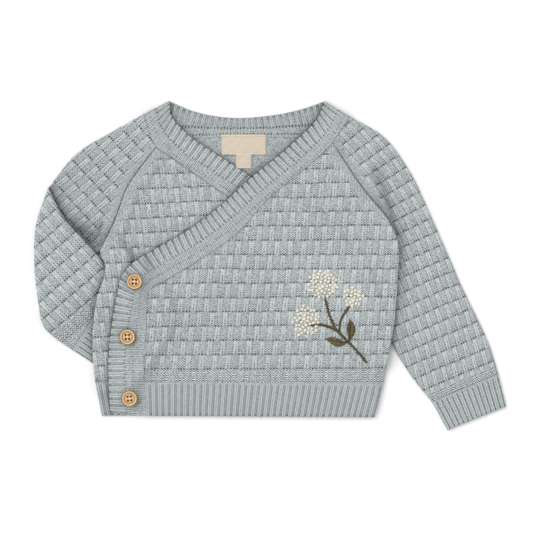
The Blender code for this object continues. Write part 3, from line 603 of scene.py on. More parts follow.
def basket_knit(plain_under, checks=1.0):
    """The basketweave, with plain purl below a course, and with its checks that strong.

    Where they are weak, its wales are thinner and their edges sharper.
    """
    def pattern(u, v, margin):
        """Height, shade and mottle. It is plain for a few stitches beside a raglan seam."""
        row = floor(v / ROW_COURSES)
        t = v / ROW_COURSES - row
        w = t * ROW_COURSES
        q = abs((u + 2 * row + 1.5) % BLOCK_WALES - 2)
        plain = 1 - ramp(v, plain_under - 0.3, plain_under + 0.1)
        knit = (1 - ramp(q, 0.62, 0.82)) * (1 - plain)
        leg = hump(q, 0.38, 0.44)
        s = (2 - q) / 0.88
        fleck = uneven(u, v)
        lower = 1 - ramp(t, 0.3, 0.8)
        slit = hump(q, 0.0, 0.22) * (0.55 - 0.45 * wave(v))
        side = hump(q, 0.9, 0.22) * (0.5 - 0.5 * wave(v))
        arcs = purl_arcs(s, v)
        middle = 0.55 + 0.75 * hump(q, 2.0, 0.9)
        hole = hump(w - 0.2 * wave(s), 0.25, 0.6) * (0.52 + 0.48 * wave(s)) * middle * (1 - 0.8 * plain)
        foot = hump(w, 0.25, 0.5) * hump(q, 0.5, 0.3)
        along = ramp(t, -0.12, 0.4) * ramp(-1 * t, -1.06, -0.55)
        pillow = 1 - ((2 - q) / 1.75) * ((2 - q) / 1.75)
        purl_height = 0.1 + 0.5 * along * held(pillow) + (0.05 + 0.12 * lower) * arcs - 0.15 * hole
        knit_height = 0.2 + 0.3 * along + 0.26 * leg
        below = hump(v, plain_under - 1.0, 1.6) * (0.5 + 0.5 * wave((u + 0.5) / BLOCK_WALES))
        first = plain * (0.24 + 0.35 * fleck + 0.8 * below)
        depth = checks * (0.28 + 0.75 * lower * (0.4 + fleck)) + first
        crisp = 1 - checks
        edge = (0.3 + 0.5 * crisp) * side
        # The shades paint the light and shade of the stitches' relief: painted shade in the holes, slits,
        # feet and beside the wales, a painted highlight on the knit legs, and each block painted lighter
        # towards its top
        purl_shade = 0.95 + 0.06 * t + depth * arcs - (0.8 + 0.8 * fleck) * hole - edge
        deep = 0.08 + 0.8 * crisp + 0.9 * lower * (0.4 + fleck)
        knit_shade = 1.04 + 0.08 * t + (0.2 + 0.25 * crisp) * leg - deep * slit - 0.5 * foot
        plain_height, plain_shade = plain_knit(u, v)
        blocks = ramp(margin, 5.0, 8.5)
        height = mixed(blocks, plain_height, mixed(knit, purl_height, knit_height))
        return height, mixed(blocks, plain_shade, mixed(knit, purl_shade, knit_shade)), 1.0
    return pattern


def rib_knit(
    courses, again=99.0, wide=0.6, channel=0.86, dots=0.5, bright=0.3, turn=999.0, mottle=0.7,
):
    """A rib of one knit and one purl wale for so many courses, a line of holes, then plain knit.

    A second line of holes may follow. wide is half a knit wale, channel the purl wale's painted shade, dots
    how dark the holes are painted and bright the painted highlight on the legs of the knit wale. Past the
    wale where a band turns down it lies slacker and softer.
    """
    def pattern(u, v, margin):
        s = (u + 0.5) % 2.0 - 1
        q = abs(s)
        knit = 1 - ramp(q, wide - 0.07, wide + 0.07)
        leg = hump(q, 0.68 * wide, 0.24)
        fleck = uneven(u, v)
        slit = hump(q, 0.0, 0.18) * (0.6 - 0.4 * wave(v)) * (0.4 + 0.8 * fleck)
        ribs = 1 - ramp(v - 0.45 * wave((u - 0.5) / 2), courses - 0.4, courses + 0.4)
        holes = (hump(v, courses, 0.55) + 0.7 * hump(v, again, 0.5)) * (0.5 + 0.5 * wave(u - 0.5))
        deep = hump(s, -0.5 - 0.5 * wide, 0.2)
        # Painted shade: the purl wale darker than the knit, a dark line at one side of it and darker at the
        # free edge
        hollow = channel + 0.12 * wave(v) * (fleck - 0.2) - 0.3 * deep - 0.25 * hump(v, 0.3, 1.2)
        slack = 0.15 * ramp(u, turn, turn + 8)
        shade = mixed(slack, mixed(knit, hollow, 1.0 + bright * leg - 0.28 * slit), 1.03)
        height = mixed(slack, mixed(knit, 0.08 + 0.03 * wave(v), 0.46 + 0.28 * leg), 0.36)
        plain_height, plain_shade = plain_knit(u, v)
        shade = mixed(ribs, plain_shade, shade) - dots * (0.7 + 0.6 * fleck) * holes
        return mixed(ribs, plain_height, height), shade, mixed(ribs, 0.8, mottle)
    return pattern


def reverse_knit(u, v, margin):
    """The inside of the basketweave."""
    arcs = purl_arcs(u, v)
    blocks = wave(v / ROW_COURSES) * wave(u / BLOCK_WALES)
    # Painted light and shade of the purl arcs' relief; the blocks show through faintly
    shade = 0.95 + 0.55 * arcs * (0.4 + uneven(u, v)) + 0.07 * blocks
    return 0.3 + 0.15 * arcs + 0.2 * blocks, shade, 1.0


def fold_relief(points, folds):
    """The height of soft folds at each point."""
    relief = np.zeros(len(points))
    for x, y, angle, length, width, height in folds:
        along = np.array([math.cos(math.radians(angle)), math.sin(math.radians(angle))])
        away = points[:, :2] - (x, y)
        across = away[:, 1] * along[0] - away[:, 0] * along[1]
        relief += height * np.exp(-((away @ along) / length) ** 2 - (across / width) ** 2)
    return relief


# How the cloth ends at each kind of edge: the width of its rounding and the edge's height as shares of the
# cloth's thickness, the share of its relief that is left there, then the rows down to the underside as
# (inward in mm, height share)
Ending = namedtuple("Ending", "round_over edge_height relief rows")
ENDINGS = {
    "free": Ending(0.6, 0.5, 0.3, [(0.05, 0.3), (0.25, 0.1), (0.7, 0.0)]),
    "foot": Ending(0.6, 0.5, 0.3, [(0.05, 0.3), (0.25, 0.1), (0.7, 0.0)]),
    "lip": Ending(0.6, 0.5, 0.3, [(0.1, 0.3), (0.5, 0.1), (1.2, 0.0)]),
    "fold": Ending(0.62, 0.5, 0.3, [(0.15, 0.28), (0.7, 0.1), (1.8, 0.0)]),
    "side": Ending(0.7, 0.6, 0.4, [(0.02, 0.4), (0.04, 0.2), (0.06, 0.0)]),
    "seam": Ending(0.12, 0.98, 1.0, [(0.02, 0.4), (0.04, 0.2), (0.06, 0.0)]),
    "shoulder": Ending(0.12, 0.98, 1.0, [(0.02, 0.4), (0.04, 0.2), (0.06, 0.0)]),
    "raglan": Ending(0.32, 0.72, 0.5, [(0.02, 0.4), (0.04, 0.2), (0.06, 0.0)]),
    "open": Ending(0.3, 0.72, 0.6, [(3.0, 0.53), (3.0, 0.47), (0.1, 0.25)]),
}
LOOSE = ["free", "foot", "lip", "open"]
BOTTOM_STEP = 9.0


def knitted(name, net, outline, under, thickness, pattern, folds=(), hollowed=False):
    """A piece of cloth: its net raised over the underside, its edge rounded, and a plain bottom.

    A tube's two layers have the flat space of its inside between them.
    """
    def underside(points):
        lip = np.clip(1 - outline.away_from("lip", points) / LIP_WIDTH, 0, 1)
        shoulder = np.clip(1 - outline.away_from("shoulder", points) / SHOULDER_WIDTH, 0, 1)
        foot = np.clip(1 - outline.away_from("foot", points) / FOOT_WIDTH, 0, 1)
        low = read(under, points) * (1 - FOOT_PRESS * foot ** 1.5)
        return low + LIP_RISE * lip ** 1.5 + SHOULDER_RISE * shoulder ** 1.5

    spots, knit, quads = net
    near, away = outline.nearest(spots)
    kinds = outline.spot_kinds[near]
    round_over = np.array([ENDINGS[kind].round_over for kind in kinds]) * thickness
    edge_height = np.array([ENDINGS[kind].edge_height for kind in kinds]) * thickness
    relief = np.array([ENDINGS[kind].relief for kind in kinds])
    base = underside(spots)
    t = np.clip(away / round_over, 0, 1)
    rise = np.sqrt(1 - (1 - t) ** 2)
    margin = outline.away_from("raglan", spots)
    height, _, _ = pattern(*knit.T, margin)
    top = base + edge_height + (thickness - edge_height) * rise + height * mixed(rise, relief, 1.0)
    top += fold_relief(spots, folds) * np.clip(away / 6, 0, 1)
    loop = edge_loop(quads)
    drawn_back = SCALLOP * np.isin(kinds[loop], LOOSE) * (1 - held(height[loop] / 0.5))
    spots = spots.copy()
    spots[loop] += inward(spots[loop]) * drawn_back[:, None]
    verts = [np.column_stack([spots, top])]
    rings = [loop]
    side = inward(spots[loop])
    room = room_at(spots[loop])
    count = len(spots)
    for k in range(3):
        inset = np.minimum([ENDINGS[kind].rows[k][0] for kind in kinds[loop]], room)
        share = np.array([ENDINGS[kind].rows[k][1] for kind in kinds[loop]])
        ring = spots[loop] + side * inset[:, None]
        verts.append(np.column_stack([ring, base[loop] + share * thickness]))
        rings.append(np.arange(count, count + len(loop)))
        count += len(loop)
    faces = [quads]
    for one, other in zip(rings, rings[1:]):
        faces.append(np.stack([one, other, np.roll(other, -1), np.roll(one, -1)], axis=1))
    bottom, tris = bottom_face(verts[-1], underside, outline)
    verts.append(bottom[len(loop):])
    tris = np.where(tris < len(loop), tris + rings[-1][0], tris - len(loop) + count)
    polygons = [*np.vstack(faces).tolist(), *tris.tolist()]
    if hollowed:
        inside, walls = hollow(outline, underside, thickness)
        polygons += (walls + count + len(bottom) - len(loop)).tolist()
        verts.append(inside)
    coords = np.vstack(verts)
    mesh = bpy.data.meshes.new(name)
    mesh.from_pydata((coords * MM).tolist(), [], polygons)
    mesh.shade_smooth()
    # Painted shade beside seams and the edges of what lies over it, carried in the margin map to darken the
    # colour
    shade = painted_shade_of(name, spots)
    maps = np.zeros((len(coords), 4))
    maps[:len(spots)] = np.column_stack([knit, margin, shade])
    for ring in rings[1:]:
        maps[ring] = maps[loop]
    carry(mesh, maps)
    made = bpy.data.objects.new(name, mesh)
    bpy.context.scene.collection.objects.link(made)
    mesh.materials.append(finish_of(name, pattern))
    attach(made, "root")
    TOPS[name] = BVHTree.FromPolygons([tuple(p) for p in verts[0]], quads.tolist())
    return made


TOPS = {}
FINISHES = {}


def carry(mesh, maps):
    """Let a mesh carry up to four numbers at each point, for its finish to read."""
    corners = np.zeros(len(mesh.loops), int)
    mesh.loops.foreach_get("vertex_index", corners)
    maps = np.pad(maps, ((0, 0), (0, 4 - maps.shape[1])))
    for layer, values in (("knit", maps[:, :2]), ("margin", maps[:, 2:])):
        mesh.uv_layers.new(name=layer).data.foreach_set("uv", values[corners].reshape(-1))


def finish_of(name, pattern):
    """The yarn's finish in a pattern, made once."""
    if pattern not in FINISHES:
        FINISHES[pattern] = knit_finish(f"yarn_{name}", pattern)
    return FINISHES[pattern]


def bottom_face(ring, underside, outline):
    """A plain underside inside a ring of points: all its points, and triangles between them."""
    low, high = ring[:, :2].min(axis=0), ring[:, :2].max(axis=0)
    x, y = np.meshgrid(
        np.arange(low[0] + 3, high[0], BOTTOM_STEP), np.arange(low[1] + 3, high[1], BOTTOM_STEP)
    )
    inner = np.stack([x.ravel(), y.ravel()], axis=1)
    inner = inner[is_inside(inner, ring[:, :2])]
    _, away = outline.nearest(inner)
    inner = inner[away > 4]
    flat = np.vstack([ring[:, :2], inner]).astype(np.float32).astype(float)
    count = len(ring)
    edges = [(i, (i + 1) % count) for i in range(count)]
    _, _, faces, origins, _, _ = delaunay_2d_cdt([Vector(p) for p in flat], edges, [], 1, 1e-5, True)
    assert all(len(origin) == 1 for origin in origins), "the ring crosses or touches itself"
    first = [origin[0] for origin in origins]
    middles = np.array([flat[[first[i] for i in face]].mean(axis=0) for face in faces])
    keep = is_inside(middles, flat[:count])
    tris = np.array([[first[i] for i in face][::-1] for face, wanted in zip(faces, keep) if wanted])
    heights = np.concatenate([ring[:, 2], underside(inner)])
    return np.column_stack([flat, heights]), tris


def hollow(outline, underside, thickness):
    """The flat space inside a tube: its points, and triangles that face into it."""
    ring = (outline.points + 2.2 * inward(outline.points))[::4]
    _, away = outline.nearest(ring)
    ring = ring[away > 2.19]
    middle = underside(ring) + thickness / 2
    low, faces = bottom_face(np.column_stack([ring, middle]), underside, outline)
    low[:, 2] = underside(low[:, :2]) + thickness / 2 - LAYER_GAP / 2
    high = low + (0, 0, LAYER_GAP)
    count = len(low)
    one = np.arange(len(ring))
    other = np.roll(one, -1)
    sides = [
        np.stack([one, other + count, other], axis=1),
        np.stack([one, one + count, other + count], axis=1),
    ]
    return np.vstack([low, high]), np.vstack([faces[:, ::-1], faces + count, *sides])


def painted_shade_of(name, spots):
    """The painted shade at each point beside seams and the edges of what lies over it, from 1 down to 0."""
    shade = np.ones(len(spots))
    for line, width, depth in PAINTED_SHADE.get(name, []):
        shade *= 1 - depth * np.exp(-(away_from(line, spots) / width) ** 1.3)
    return shade


# Materials

class Value:
    """A number or a colour somewhere in a material, with plain arithmetic on numbers."""

    def __init__(self, tree, socket):
        self.tree, self.socket = tree, socket

    def node(self, kind, settings=None, out=0, **sockets):
        """The output of a new node. Settings come first, then the sockets, by name."""
        made = self.tree.nodes.new(kind)
        for key, value in (settings or {}).items():
            setattr(made, key, value)
        for key, value in sockets.items():
            place = int(key[1:]) if key[0] == "_" and key[1:].isdigit() else key.replace("_", " ")
            if isinstance(value, Value):
                self.tree.links.new(value.socket, made.inputs[place])
            else:
                made.inputs[place].default_value = value
        return Value(self.tree, made.outputs[out])

    def worked(self, operation, *values):
        """A Math node on these values."""
        sockets = {f"_{i}": value for i, value in enumerate(values)}
        return self.node("ShaderNodeMath", {"operation": operation}, **sockets)

    def __add__(self, other):
        return self.worked("ADD", self, other)

    def __radd__(self, other):
        return self.worked("ADD", other, self)

    def __sub__(self, other):
        return self.worked("SUBTRACT", self, other)

    def __rsub__(self, other):
        return self.worked("SUBTRACT", other, self)

    def __mul__(self, other):
        return self.worked("MULTIPLY", self, other)

    def __rmul__(self, other):
        return self.worked("MULTIPLY", other, self)

    def __truediv__(self, other):
        return self.worked("DIVIDE", self, other)

    def __mod__(self, other):
        return self.worked("FLOORED_MODULO", self, other)

    def __abs__(self):
        return self.worked("ABSOLUTE", self)

    def floor(self):
        return self.worked("FLOOR", self)

    def cos(self):
        return self.worked("COSINE", self)

    def held(self):
        return self.node("ShaderNodeClamp", Value=self)

    def at_least(self, least):
        return self.worked("MAXIMUM", self, least)


class Finish:
    """A material's tree, with the surface's knit coordinates and its own places to set."""

    def __init__(self, name, roughness=0.9, sheen=0.0, specular=0.3):
        self.material = bpy.data.materials.new(name)
        self.material.use_nodes = True
        self.tree = self.material.node_tree
        self.shader = self.tree.nodes["Principled BSDF"]
        self.shader.inputs["Roughness"].default_value = roughness
        self.shader.inputs["Sheen Weight"].default_value = sheen
        self.shader.inputs["Specular IOR Level"].default_value = specular
        self.start = Value(self.tree, None)

    def node(self, *args, **sockets):
        return self.start.node(*args, **sockets)

    def maps(self):
        """The four numbers that the surface carries: on yarn wales, courses, millimetres from a raglan seam
        and the painted shade that darkens its colour."""
        maps = [self.node("ShaderNodeUVMap", {"uv_map": name}) for name in ("knit", "margin")]
        return [self.node("ShaderNodeSeparateXYZ", None, i, Vector=vector) for vector in maps for i in (0, 1)]

    def place(self):
        """The point on the object, in metres."""
        return self.node("ShaderNodeTexCoord", None, 3)

    def noise(self, scale, detail=2.0):
        """Soft noise around 0.5, with scale in cycles to the metre."""
        place = self.place()
        return self.node("ShaderNodeTexNoise", None, 0, Vector=place, Scale=scale, Detail=detail)

    def colour(self, base, shade):
        """A fixed colour made lighter or darker by a number."""
        grey = self.node("ShaderNodeCombineXYZ", None, 0, X=shade, Y=shade, Z=shade)
        tinted = self.node("ShaderNodeVectorMath", {"operation": "MULTIPLY"}, 0, _0=grey, _1=base)
        self.tree.links.new(tinted.socket, self.shader.inputs["Base Color"])

    def bump(self, height):
        """Relief in millimetres."""
        made = self.node("ShaderNodeBump", None, 0, Height=height, Distance=MM, Strength=1.0)
        self.tree.links.new(made.socket, self.shader.inputs["Normal"])


def yarn_mottle(finish):
    """The uneven colour of the yarn, round 0."""
    fine = finish.noise(700.0, 3.0) - 0.5
    broad = finish.noise(60.0) - 0.5
    return 1.9 * fine + 0.25 * broad


def knit_finish(name, pattern):
    """Cotton yarn in one of the knits."""
    finish = Finish(name, sheen=0.12)
    wales, courses, margin, painted_shade = finish.maps()
    height, shade, mottle = pattern(wales, courses, margin)
    # The colour carries the pattern's painted light and shade and the painted shade beside edges, with the
    # yarn's mottle
    finish.colour(YARN, (shade + mottle * yarn_mottle(finish)).at_least(0.14) * painted_shade)
    finish.bump(0.7 * height)
    return finish.material


def tape_finish():
    """Woven tape."""
    finish = Finish("woven_tape", roughness=0.75)
    x, y, side, end = finish.maps()
    weave = wave(x / 0.42) * wave(y / 0.42)
    turned_in = 1 - ramp(end, 1.6, 2.0)
    stitches = (
        hump(end, 2.0, 0.35) * (0.65 + 0.35 * wave(x / 1.3))
        + hump(side, 1.4, 0.3) * (0.4 + 0.4 * wave(y))
    )
    rim = 1 - ramp(side, 0.1, 0.45) * ramp(end, 0.05, 0.3)
    shade = 0.94 + 0.04 * weave + 0.06 * turned_in - 0.16 * stitches - 0.22 * rim
    finish.colour((0.735, 0.635, 0.51), shade + 0.035 * yarn_mottle(finish))
    finish.bump(0.08 * weave)
    return finish.material


def wood_finish(name, colour):
    """Turned, waxed wood with its grain across the button, with painted light and shade by radius."""
    finish = Finish(name, roughness=0.5, specular=0.5)
    grain = finish.node("ShaderNodeMapping", None, 0, Vector=finish.place(), Scale=(60.0, 420.0, 60.0))
    rings = finish.node("ShaderNodeTexNoise", None, 0, Vector=grain, Scale=6.0, Detail=4.0)
    radius = finish.maps()[0]
    # A painted highlight on the rim's top, painted shade in the groove and a painted dark outline at the edge
    rim = 0.14 * hump(radius, 5.9, 0.7) - 0.44 * hump(radius, 4.6, 0.95) - 0.8 * ramp(radius, 6.3, 7.2)
    finish.colour(colour, 0.7 + 0.6 * rings + rim)
    finish.bump(0.05 * rings)
    return finish.material


def thread_finish(name, colour, uneven_by=0.6):
    """Twisted sewing or embroidery thread."""
    finish = Finish(name, roughness=0.6, sheen=0.06)
    finish.colour(colour, (1 + uneven_by * (finish.noise(500.0) - 0.5) * 2).at_least(0.2))
    finish.bump(0.3 * finish.noise(3000.0))
    return finish.material


def white_surface():
    """The pale surface that the garment lies on."""
    finish = Finish("pale_surface", roughness=0.95, specular=0.0)
    finish.shader.inputs["Base Color"].default_value = (0.88, 0.88, 0.88, 1.0)
    return finish.material


# The pieces

def declare(outline, layers, band):
    """Work out the size of a piece's cut, all round on a tube; nothing is done with it."""
    x, y = outline.points.T
    area = abs(np.sum(x * np.roll(y, -1) - y * np.roll(x, -1))) / 2 * layers
    width, length = np.ptp(outline.points, axis=0)
    if band:
        length = band_length(band)
        width = 1.001 * area / layers / length


def make_cloth(node, name, net, outline, under, pattern, folds=(), band=None, layers=1):
    """A knitted piece in place of its node. One of two layers is a tube."""
    thickness = TUBE_WALL if layers == 2 else WALL
    made = knitted(name, net, outline, under, thickness, pattern, folds, layers == 2)
    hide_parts(node)
    declare(outline, layers, band)


def make_sleeve(node, name, outline, under, pattern):
    """A sleeve, or the part of one on either side of its elbow."""
    net = panel_net(outline, GRAINS[name])
    make_cloth(
        node, SLEEVE_NAMES[name], net, outline, under, pattern, FOLDS[name], layers=2
    )


def make_cuff(side, sections, under):
    """A cuff, and its outline."""
    outline = strip_outline(sections, free="open", start="fold", end="fold")
    net = strip_net(sections, CUFF_WALE, CUFF_STEP, CUFF_ROWS)
    make_cloth(
        f"{side}_cuff", f"{side}_cuff_rib", net, outline, under, CUFF_KNIT, band=sections, layers=2
    )
    return outline


def make_sleeves(ground):
    """Both sleeves and cuffs, which lie under the body, and the ground with them on it."""
    flat = np.zeros(GRID_SIZE)
    shoulder = part_of(seam_of(LEFT_BAND), LEFT_BAND[0][2:], LEFT_RAGLAN_TOP)
    left = Outline(
        ("fold", curve([shoulder[0]] + LEFT_SLEEVE_FOLD)),
        ("seam", curve([LEFT_SLEEVE_FOLD[-1], LEFT_UNDERARM[-1]])),
        ("fold", curve(LEFT_UNDERARM)[::-1]),
        ("raglan", LEFT_RAGLAN_LINE[::-1]),
        ("shoulder", shoulder[::-1]),
    )
    make_sleeve("left_sleeve", "left_sleeve", left, flat, SLEEVE_KNIT)
    cuff = make_cuff("left", LEFT_CUFF, flat)
    ground = raised(ground, [left, cuff], flat, TUBE_WALL + RELIEF)

    shoulder = part_of(seam_of(RIGHT_BAND), RIGHT_BAND[0][2:], RIGHT_RAGLAN_TOP)
    fold = curve(RIGHT_SLEEVE_FOLD)
    arm = Outline(
        ("fold", fold),
        ("fold", curve(RIGHT_UNDERARM)),
        ("raglan", RIGHT_RAGLAN_LINE[::-1]),
        ("shoulder", shoulder[::-1]),
        ("fold", curve([shoulder[0]] + UPPER_ARM_TOP)),
    )
    forearm = Outline(
        ("fold", fold),
        ("fold", curve(FOREARM_LOWER_EDGE)),
        ("seam", curve([FOREARM_LOWER_EDGE[-1], FOREARM_UPPER_EDGE[0]])),
        ("fold", curve(FOREARM_UPPER_EDGE)),
    )
    make_sleeve("right_sleeve", "upper_arm", arm, flat, SLEEVE_KNIT)
    on_arm = raised(np.zeros(GRID_SIZE), [arm], flat, TUBE_WALL + RELIEF)
    under = over(on_arm, [forearm], (), FOREARM_SMOOTH)
    make_sleeve("right_sleeve", "forearm", forearm, under, FOREARM_KNIT)
    cuff = make_cuff("right", RIGHT_CUFF, flat)
    ground = raised(ground, [arm, cuff], flat, TUBE_WALL + RELIEF)
    return raised(ground, [forearm], under, TUBE_WALL + RELIEF)


Piece = namedtuple("Piece", "node name outline net pattern band")


def make_layer(ground, pieces, seams=()):
    """Pieces that lie on the ground side by side, and the ground with them on it."""
    outlines = [piece.outline for piece in pieces]
    under = over(ground, outlines, seams)
    for node, name, outline, net, pattern, band in pieces:
        make_cloth(node, name, net, outline, under, pattern, band=band)
    return raised(ground, outlines, under, WALL + RELIEF)


LEFT_RAGLAN_LINE = curve([LEFT_RAGLAN_TOP] + LEFT_RAGLAN)
RIGHT_RAGLAN_LINE = curve([RIGHT_RAGLAN_TOP] + RIGHT_RAGLAN)
BODY_KNIT = basket_knit(-54.0)
SLEEVE_KNIT = basket_knit(-56.0, 0.65)
FOREARM_KNIT = basket_knit(-13.0, 0.65)
CUFF_KNIT = rib_knit(13.2, wide=0.74, channel=0.72, dots=0.0, bright=0.38)
HEM_KNIT = rib_knit(13.7, wide=0.55, channel=0.86, dots=0.0, bright=0.36, mottle=0.35)
BAND_KNIT = rib_knit(6.8, 10.2, channel=0.88, bright=0.45, turn=66.0)
NECK_KNIT = rib_knit(4.9, 7.6, wide=0.53, channel=0.93, dots=1.0, bright=0.22)

# Painted shade: the edges and spots beside which a piece's colour is painted darker, the depth at the line
# falling away over the width: (line, width, depth). A negative depth paints it lighter.
LEFT_BAND_EDGE, RIGHT_BAND_EDGE = band_lines(LEFT_BAND)[:, :2], band_lines(RIGHT_BAND)[:, :2]
LEFT_NECK_SEAM = part_of(seam_of(LEFT_BAND), LEFT_BAND[0][2:], LEFT_BAND[7][2:])
RIGHT_NECK_SEAM = part_of(seam_of(RIGHT_BAND), RIGHT_BAND[0][2:], RIGHT_BAND[6][2:])
FRONT_SEAM = part_of(seam_of(LEFT_BAND), LEFT_BAND[8][2:], LEFT_BAND[13][2:])
SLEEVE_FOLD = curve([(98.5, 89.0), (105.0, 72.0), (111.5, 52.0), (118.0, 30.0)])
PAINTED_SHADE = {
    "back_inside": [(LEFT_BAND_EDGE, 3.2, 0.6), (RIGHT_BAND_EDGE, 2.6, 0.5)],
    "back_neckband_rib": [(LEFT_BAND_EDGE, 3.4, 0.6), (RIGHT_BAND_EDGE, 2.6, 0.4)],
    "right_front_knit": [(LEFT_BAND_EDGE, 2.2, 0.6), (RIGHT_NECK_SEAM, 0.9, 0.3)],
    "right_front_hem_rib": [(LEFT_BAND_EDGE, 2.6, 0.5)],
    "right_front_band_rib": [(LEFT_BAND_EDGE, 3.2, 0.6), (RIGHT_NECK_SEAM, 0.9, 0.3)],
    "left_front_knit": [
        (LEFT_NECK_SEAM, 0.9, 0.3), (FRONT_SEAM, 0.9, 0.3), (np.array([(-30.0, -50.0)]), 90.0, 0.03),
    ],
    # Round the buttons twice over: painted shade under each button and in its holes
    "left_front_band_rib": [(LEFT_NECK_SEAM, 0.9, 0.3), *[(np.array(BUTTONS), 4.2, 0.95)] * 2],
    "left_sleeve_knit": [(curve(LEFT_SIDE), 9.0, 0.2), (SLEEVE_FOLD, 4.6, 0.4)],
    "right_upper_arm_knit": [
        (np.array([(-168.0, 75.0)]), 60.0, 0.05),
        (curve(FOREARM_UPPER_EDGE[2:]), 8.5, 0.46), (curve(FOREARM_UPPER_EDGE[1:]), 3.5, 0.4),
        (curve([(-178.0, 36.0), (-166.5, 28.0)]), 6.0, 0.45),
        (curve([(-157.0, 39.0), (-159.5, 31.0), (-164.5, 22.0)]), 2.0, 0.5),
    ],
    "right_forearm_knit": [(curve(RIGHT_SIDE), 3.2, 0.5)],
    "right_cuff_rib": [(curve(RIGHT_SIDE), 3.2, 0.5)],
}


def make_body(ground):
    """The back, then the right front, then the left front over it, each with its hem and band."""
    left_side, right_side = curve(LEFT_SIDE), curve(RIGHT_SIDE)
    left_seam, right_seam = seam_of(LEFT_BAND), seam_of(RIGHT_BAND)
    shoulders = [
        part_of(left_seam, LEFT_BAND[0][2:], LEFT_RAGLAN_TOP),
        part_of(right_seam, RIGHT_BAND[0][2:], RIGHT_RAGLAN_TOP),
    ]
    back = Outline(
        ("raglan", LEFT_RAGLAN_LINE), ("side", left_side),
        ("seam", curve([LEFT_SIDE[-1], RIGHT_SIDE[-1]])), ("side", right_side[::-1]),
        ("raglan", RIGHT_RAGLAN_LINE[::-1]), ("seam", seam_of(NECKBAND)),
    )
    ground = make_layer(ground, [
        Piece("back", "back_inside", back, panel_net(back, GRAINS["back"], 2, 2), reverse_knit, None),
        Piece(
            "back_hem", "back_hem_rib", strip_outline(BACK_HEM, free="foot", start="free", end="free"),
            strip_net(BACK_HEM, HEM_WALE, 1.1, 16), HEM_KNIT, BACK_HEM,
        ),
        Piece(
            "back_neckband", "back_neckband_rib", strip_outline(NECKBAND),
            strip_net(NECKBAND, HEM_WALE, 0.55, 48, 9.0), NECK_KNIT, NECKBAND,
        ),
    ], [LEFT_RAGLAN_LINE, RIGHT_RAGLAN_LINE, *shoulders])
    right_front = Outline(
        ("seam", part_of(right_seam, RIGHT_RAGLAN_TOP, RIGHT_HEM_END)),
        ("seam", curve([RIGHT_HEM_END, RIGHT_SIDE[-1]])),
        ("side", right_side[::-1]),
        ("raglan", RIGHT_RAGLAN_LINE[::-1]),
    )
    ground = make_layer(ground, [
        Piece(
            "right_front", "right_front_knit", right_front,
            panel_net(right_front, GRAINS["right_front"]), BODY_KNIT, None,
        ),
        Piece(
            "right_front_hem", "right_front_hem_rib",
            strip_outline(RIGHT_HEM, free="foot", start="free", end="free"),
            strip_net(RIGHT_HEM, HEM_WALE, 0.65, 24), HEM_KNIT, RIGHT_HEM,
        ),
        Piece(
            "right_front_band", "right_front_band_rib", strip_outline(RIGHT_BAND, end="foot", lip=0.24),
            strip_net(RIGHT_BAND, BAND_WALE, 0.62, 44), BAND_KNIT, RIGHT_BAND,
        ),
    ])
    left_front = Outline(
        ("raglan", LEFT_RAGLAN_LINE), ("side", left_side),
        ("seam", curve([LEFT_SIDE[-1], LEFT_HEM_END])),
        ("seam", part_of(left_seam, LEFT_HEM_END, LEFT_RAGLAN_TOP)),
    )
    make_layer(ground, [
        Piece(
            "left_front", "left_front_knit", left_front,
            panel_net(left_front, GRAINS["left_front"]), BODY_KNIT, None,
        ),
        Piece(
            "left_front_hem", "left_front_hem_rib", strip_outline(LEFT_HEM, free="foot", end="free"),
            strip_net(LEFT_HEM, HEM_WALE, 0.55, 42), HEM_KNIT, LEFT_HEM,
        ),
        Piece(
            "left_front_band", "left_front_band_rib", strip_outline(LEFT_BAND, end="foot", lip=0.97),
            strip_net(LEFT_BAND, BAND_WALE, 0.62, 44), BAND_KNIT, LEFT_BAND,
        ),
    ])


# Small pieces

def solid(name, coords, faces, finish, slot):
    """A piece from points in millimetres and faces."""
    mesh = bpy.data.meshes.new(name)
    mesh.from_pydata((np.asarray(coords) * MM).tolist(), [], [list(face) for face in faces])
    mesh.shade_smooth()
    mesh.materials.append(finish)
    made = bpy.data.objects.new(name, mesh)
    bpy.context.scene.collection.objects.link(made)
    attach(made, "root")
    return made


def height_at(spots, *names):
    """The height of the named pieces' tops at points in the plane."""
    found = np.zeros(len(spots))
    for name in names:
        for i, (x, y) in enumerate(spots):
            place = TOPS[name].ray_cast(Vector((x, y, 100)), Vector((0, 0, -1)))[0]
            if place:
                found[i] = max(found[i], place[2])
    return found


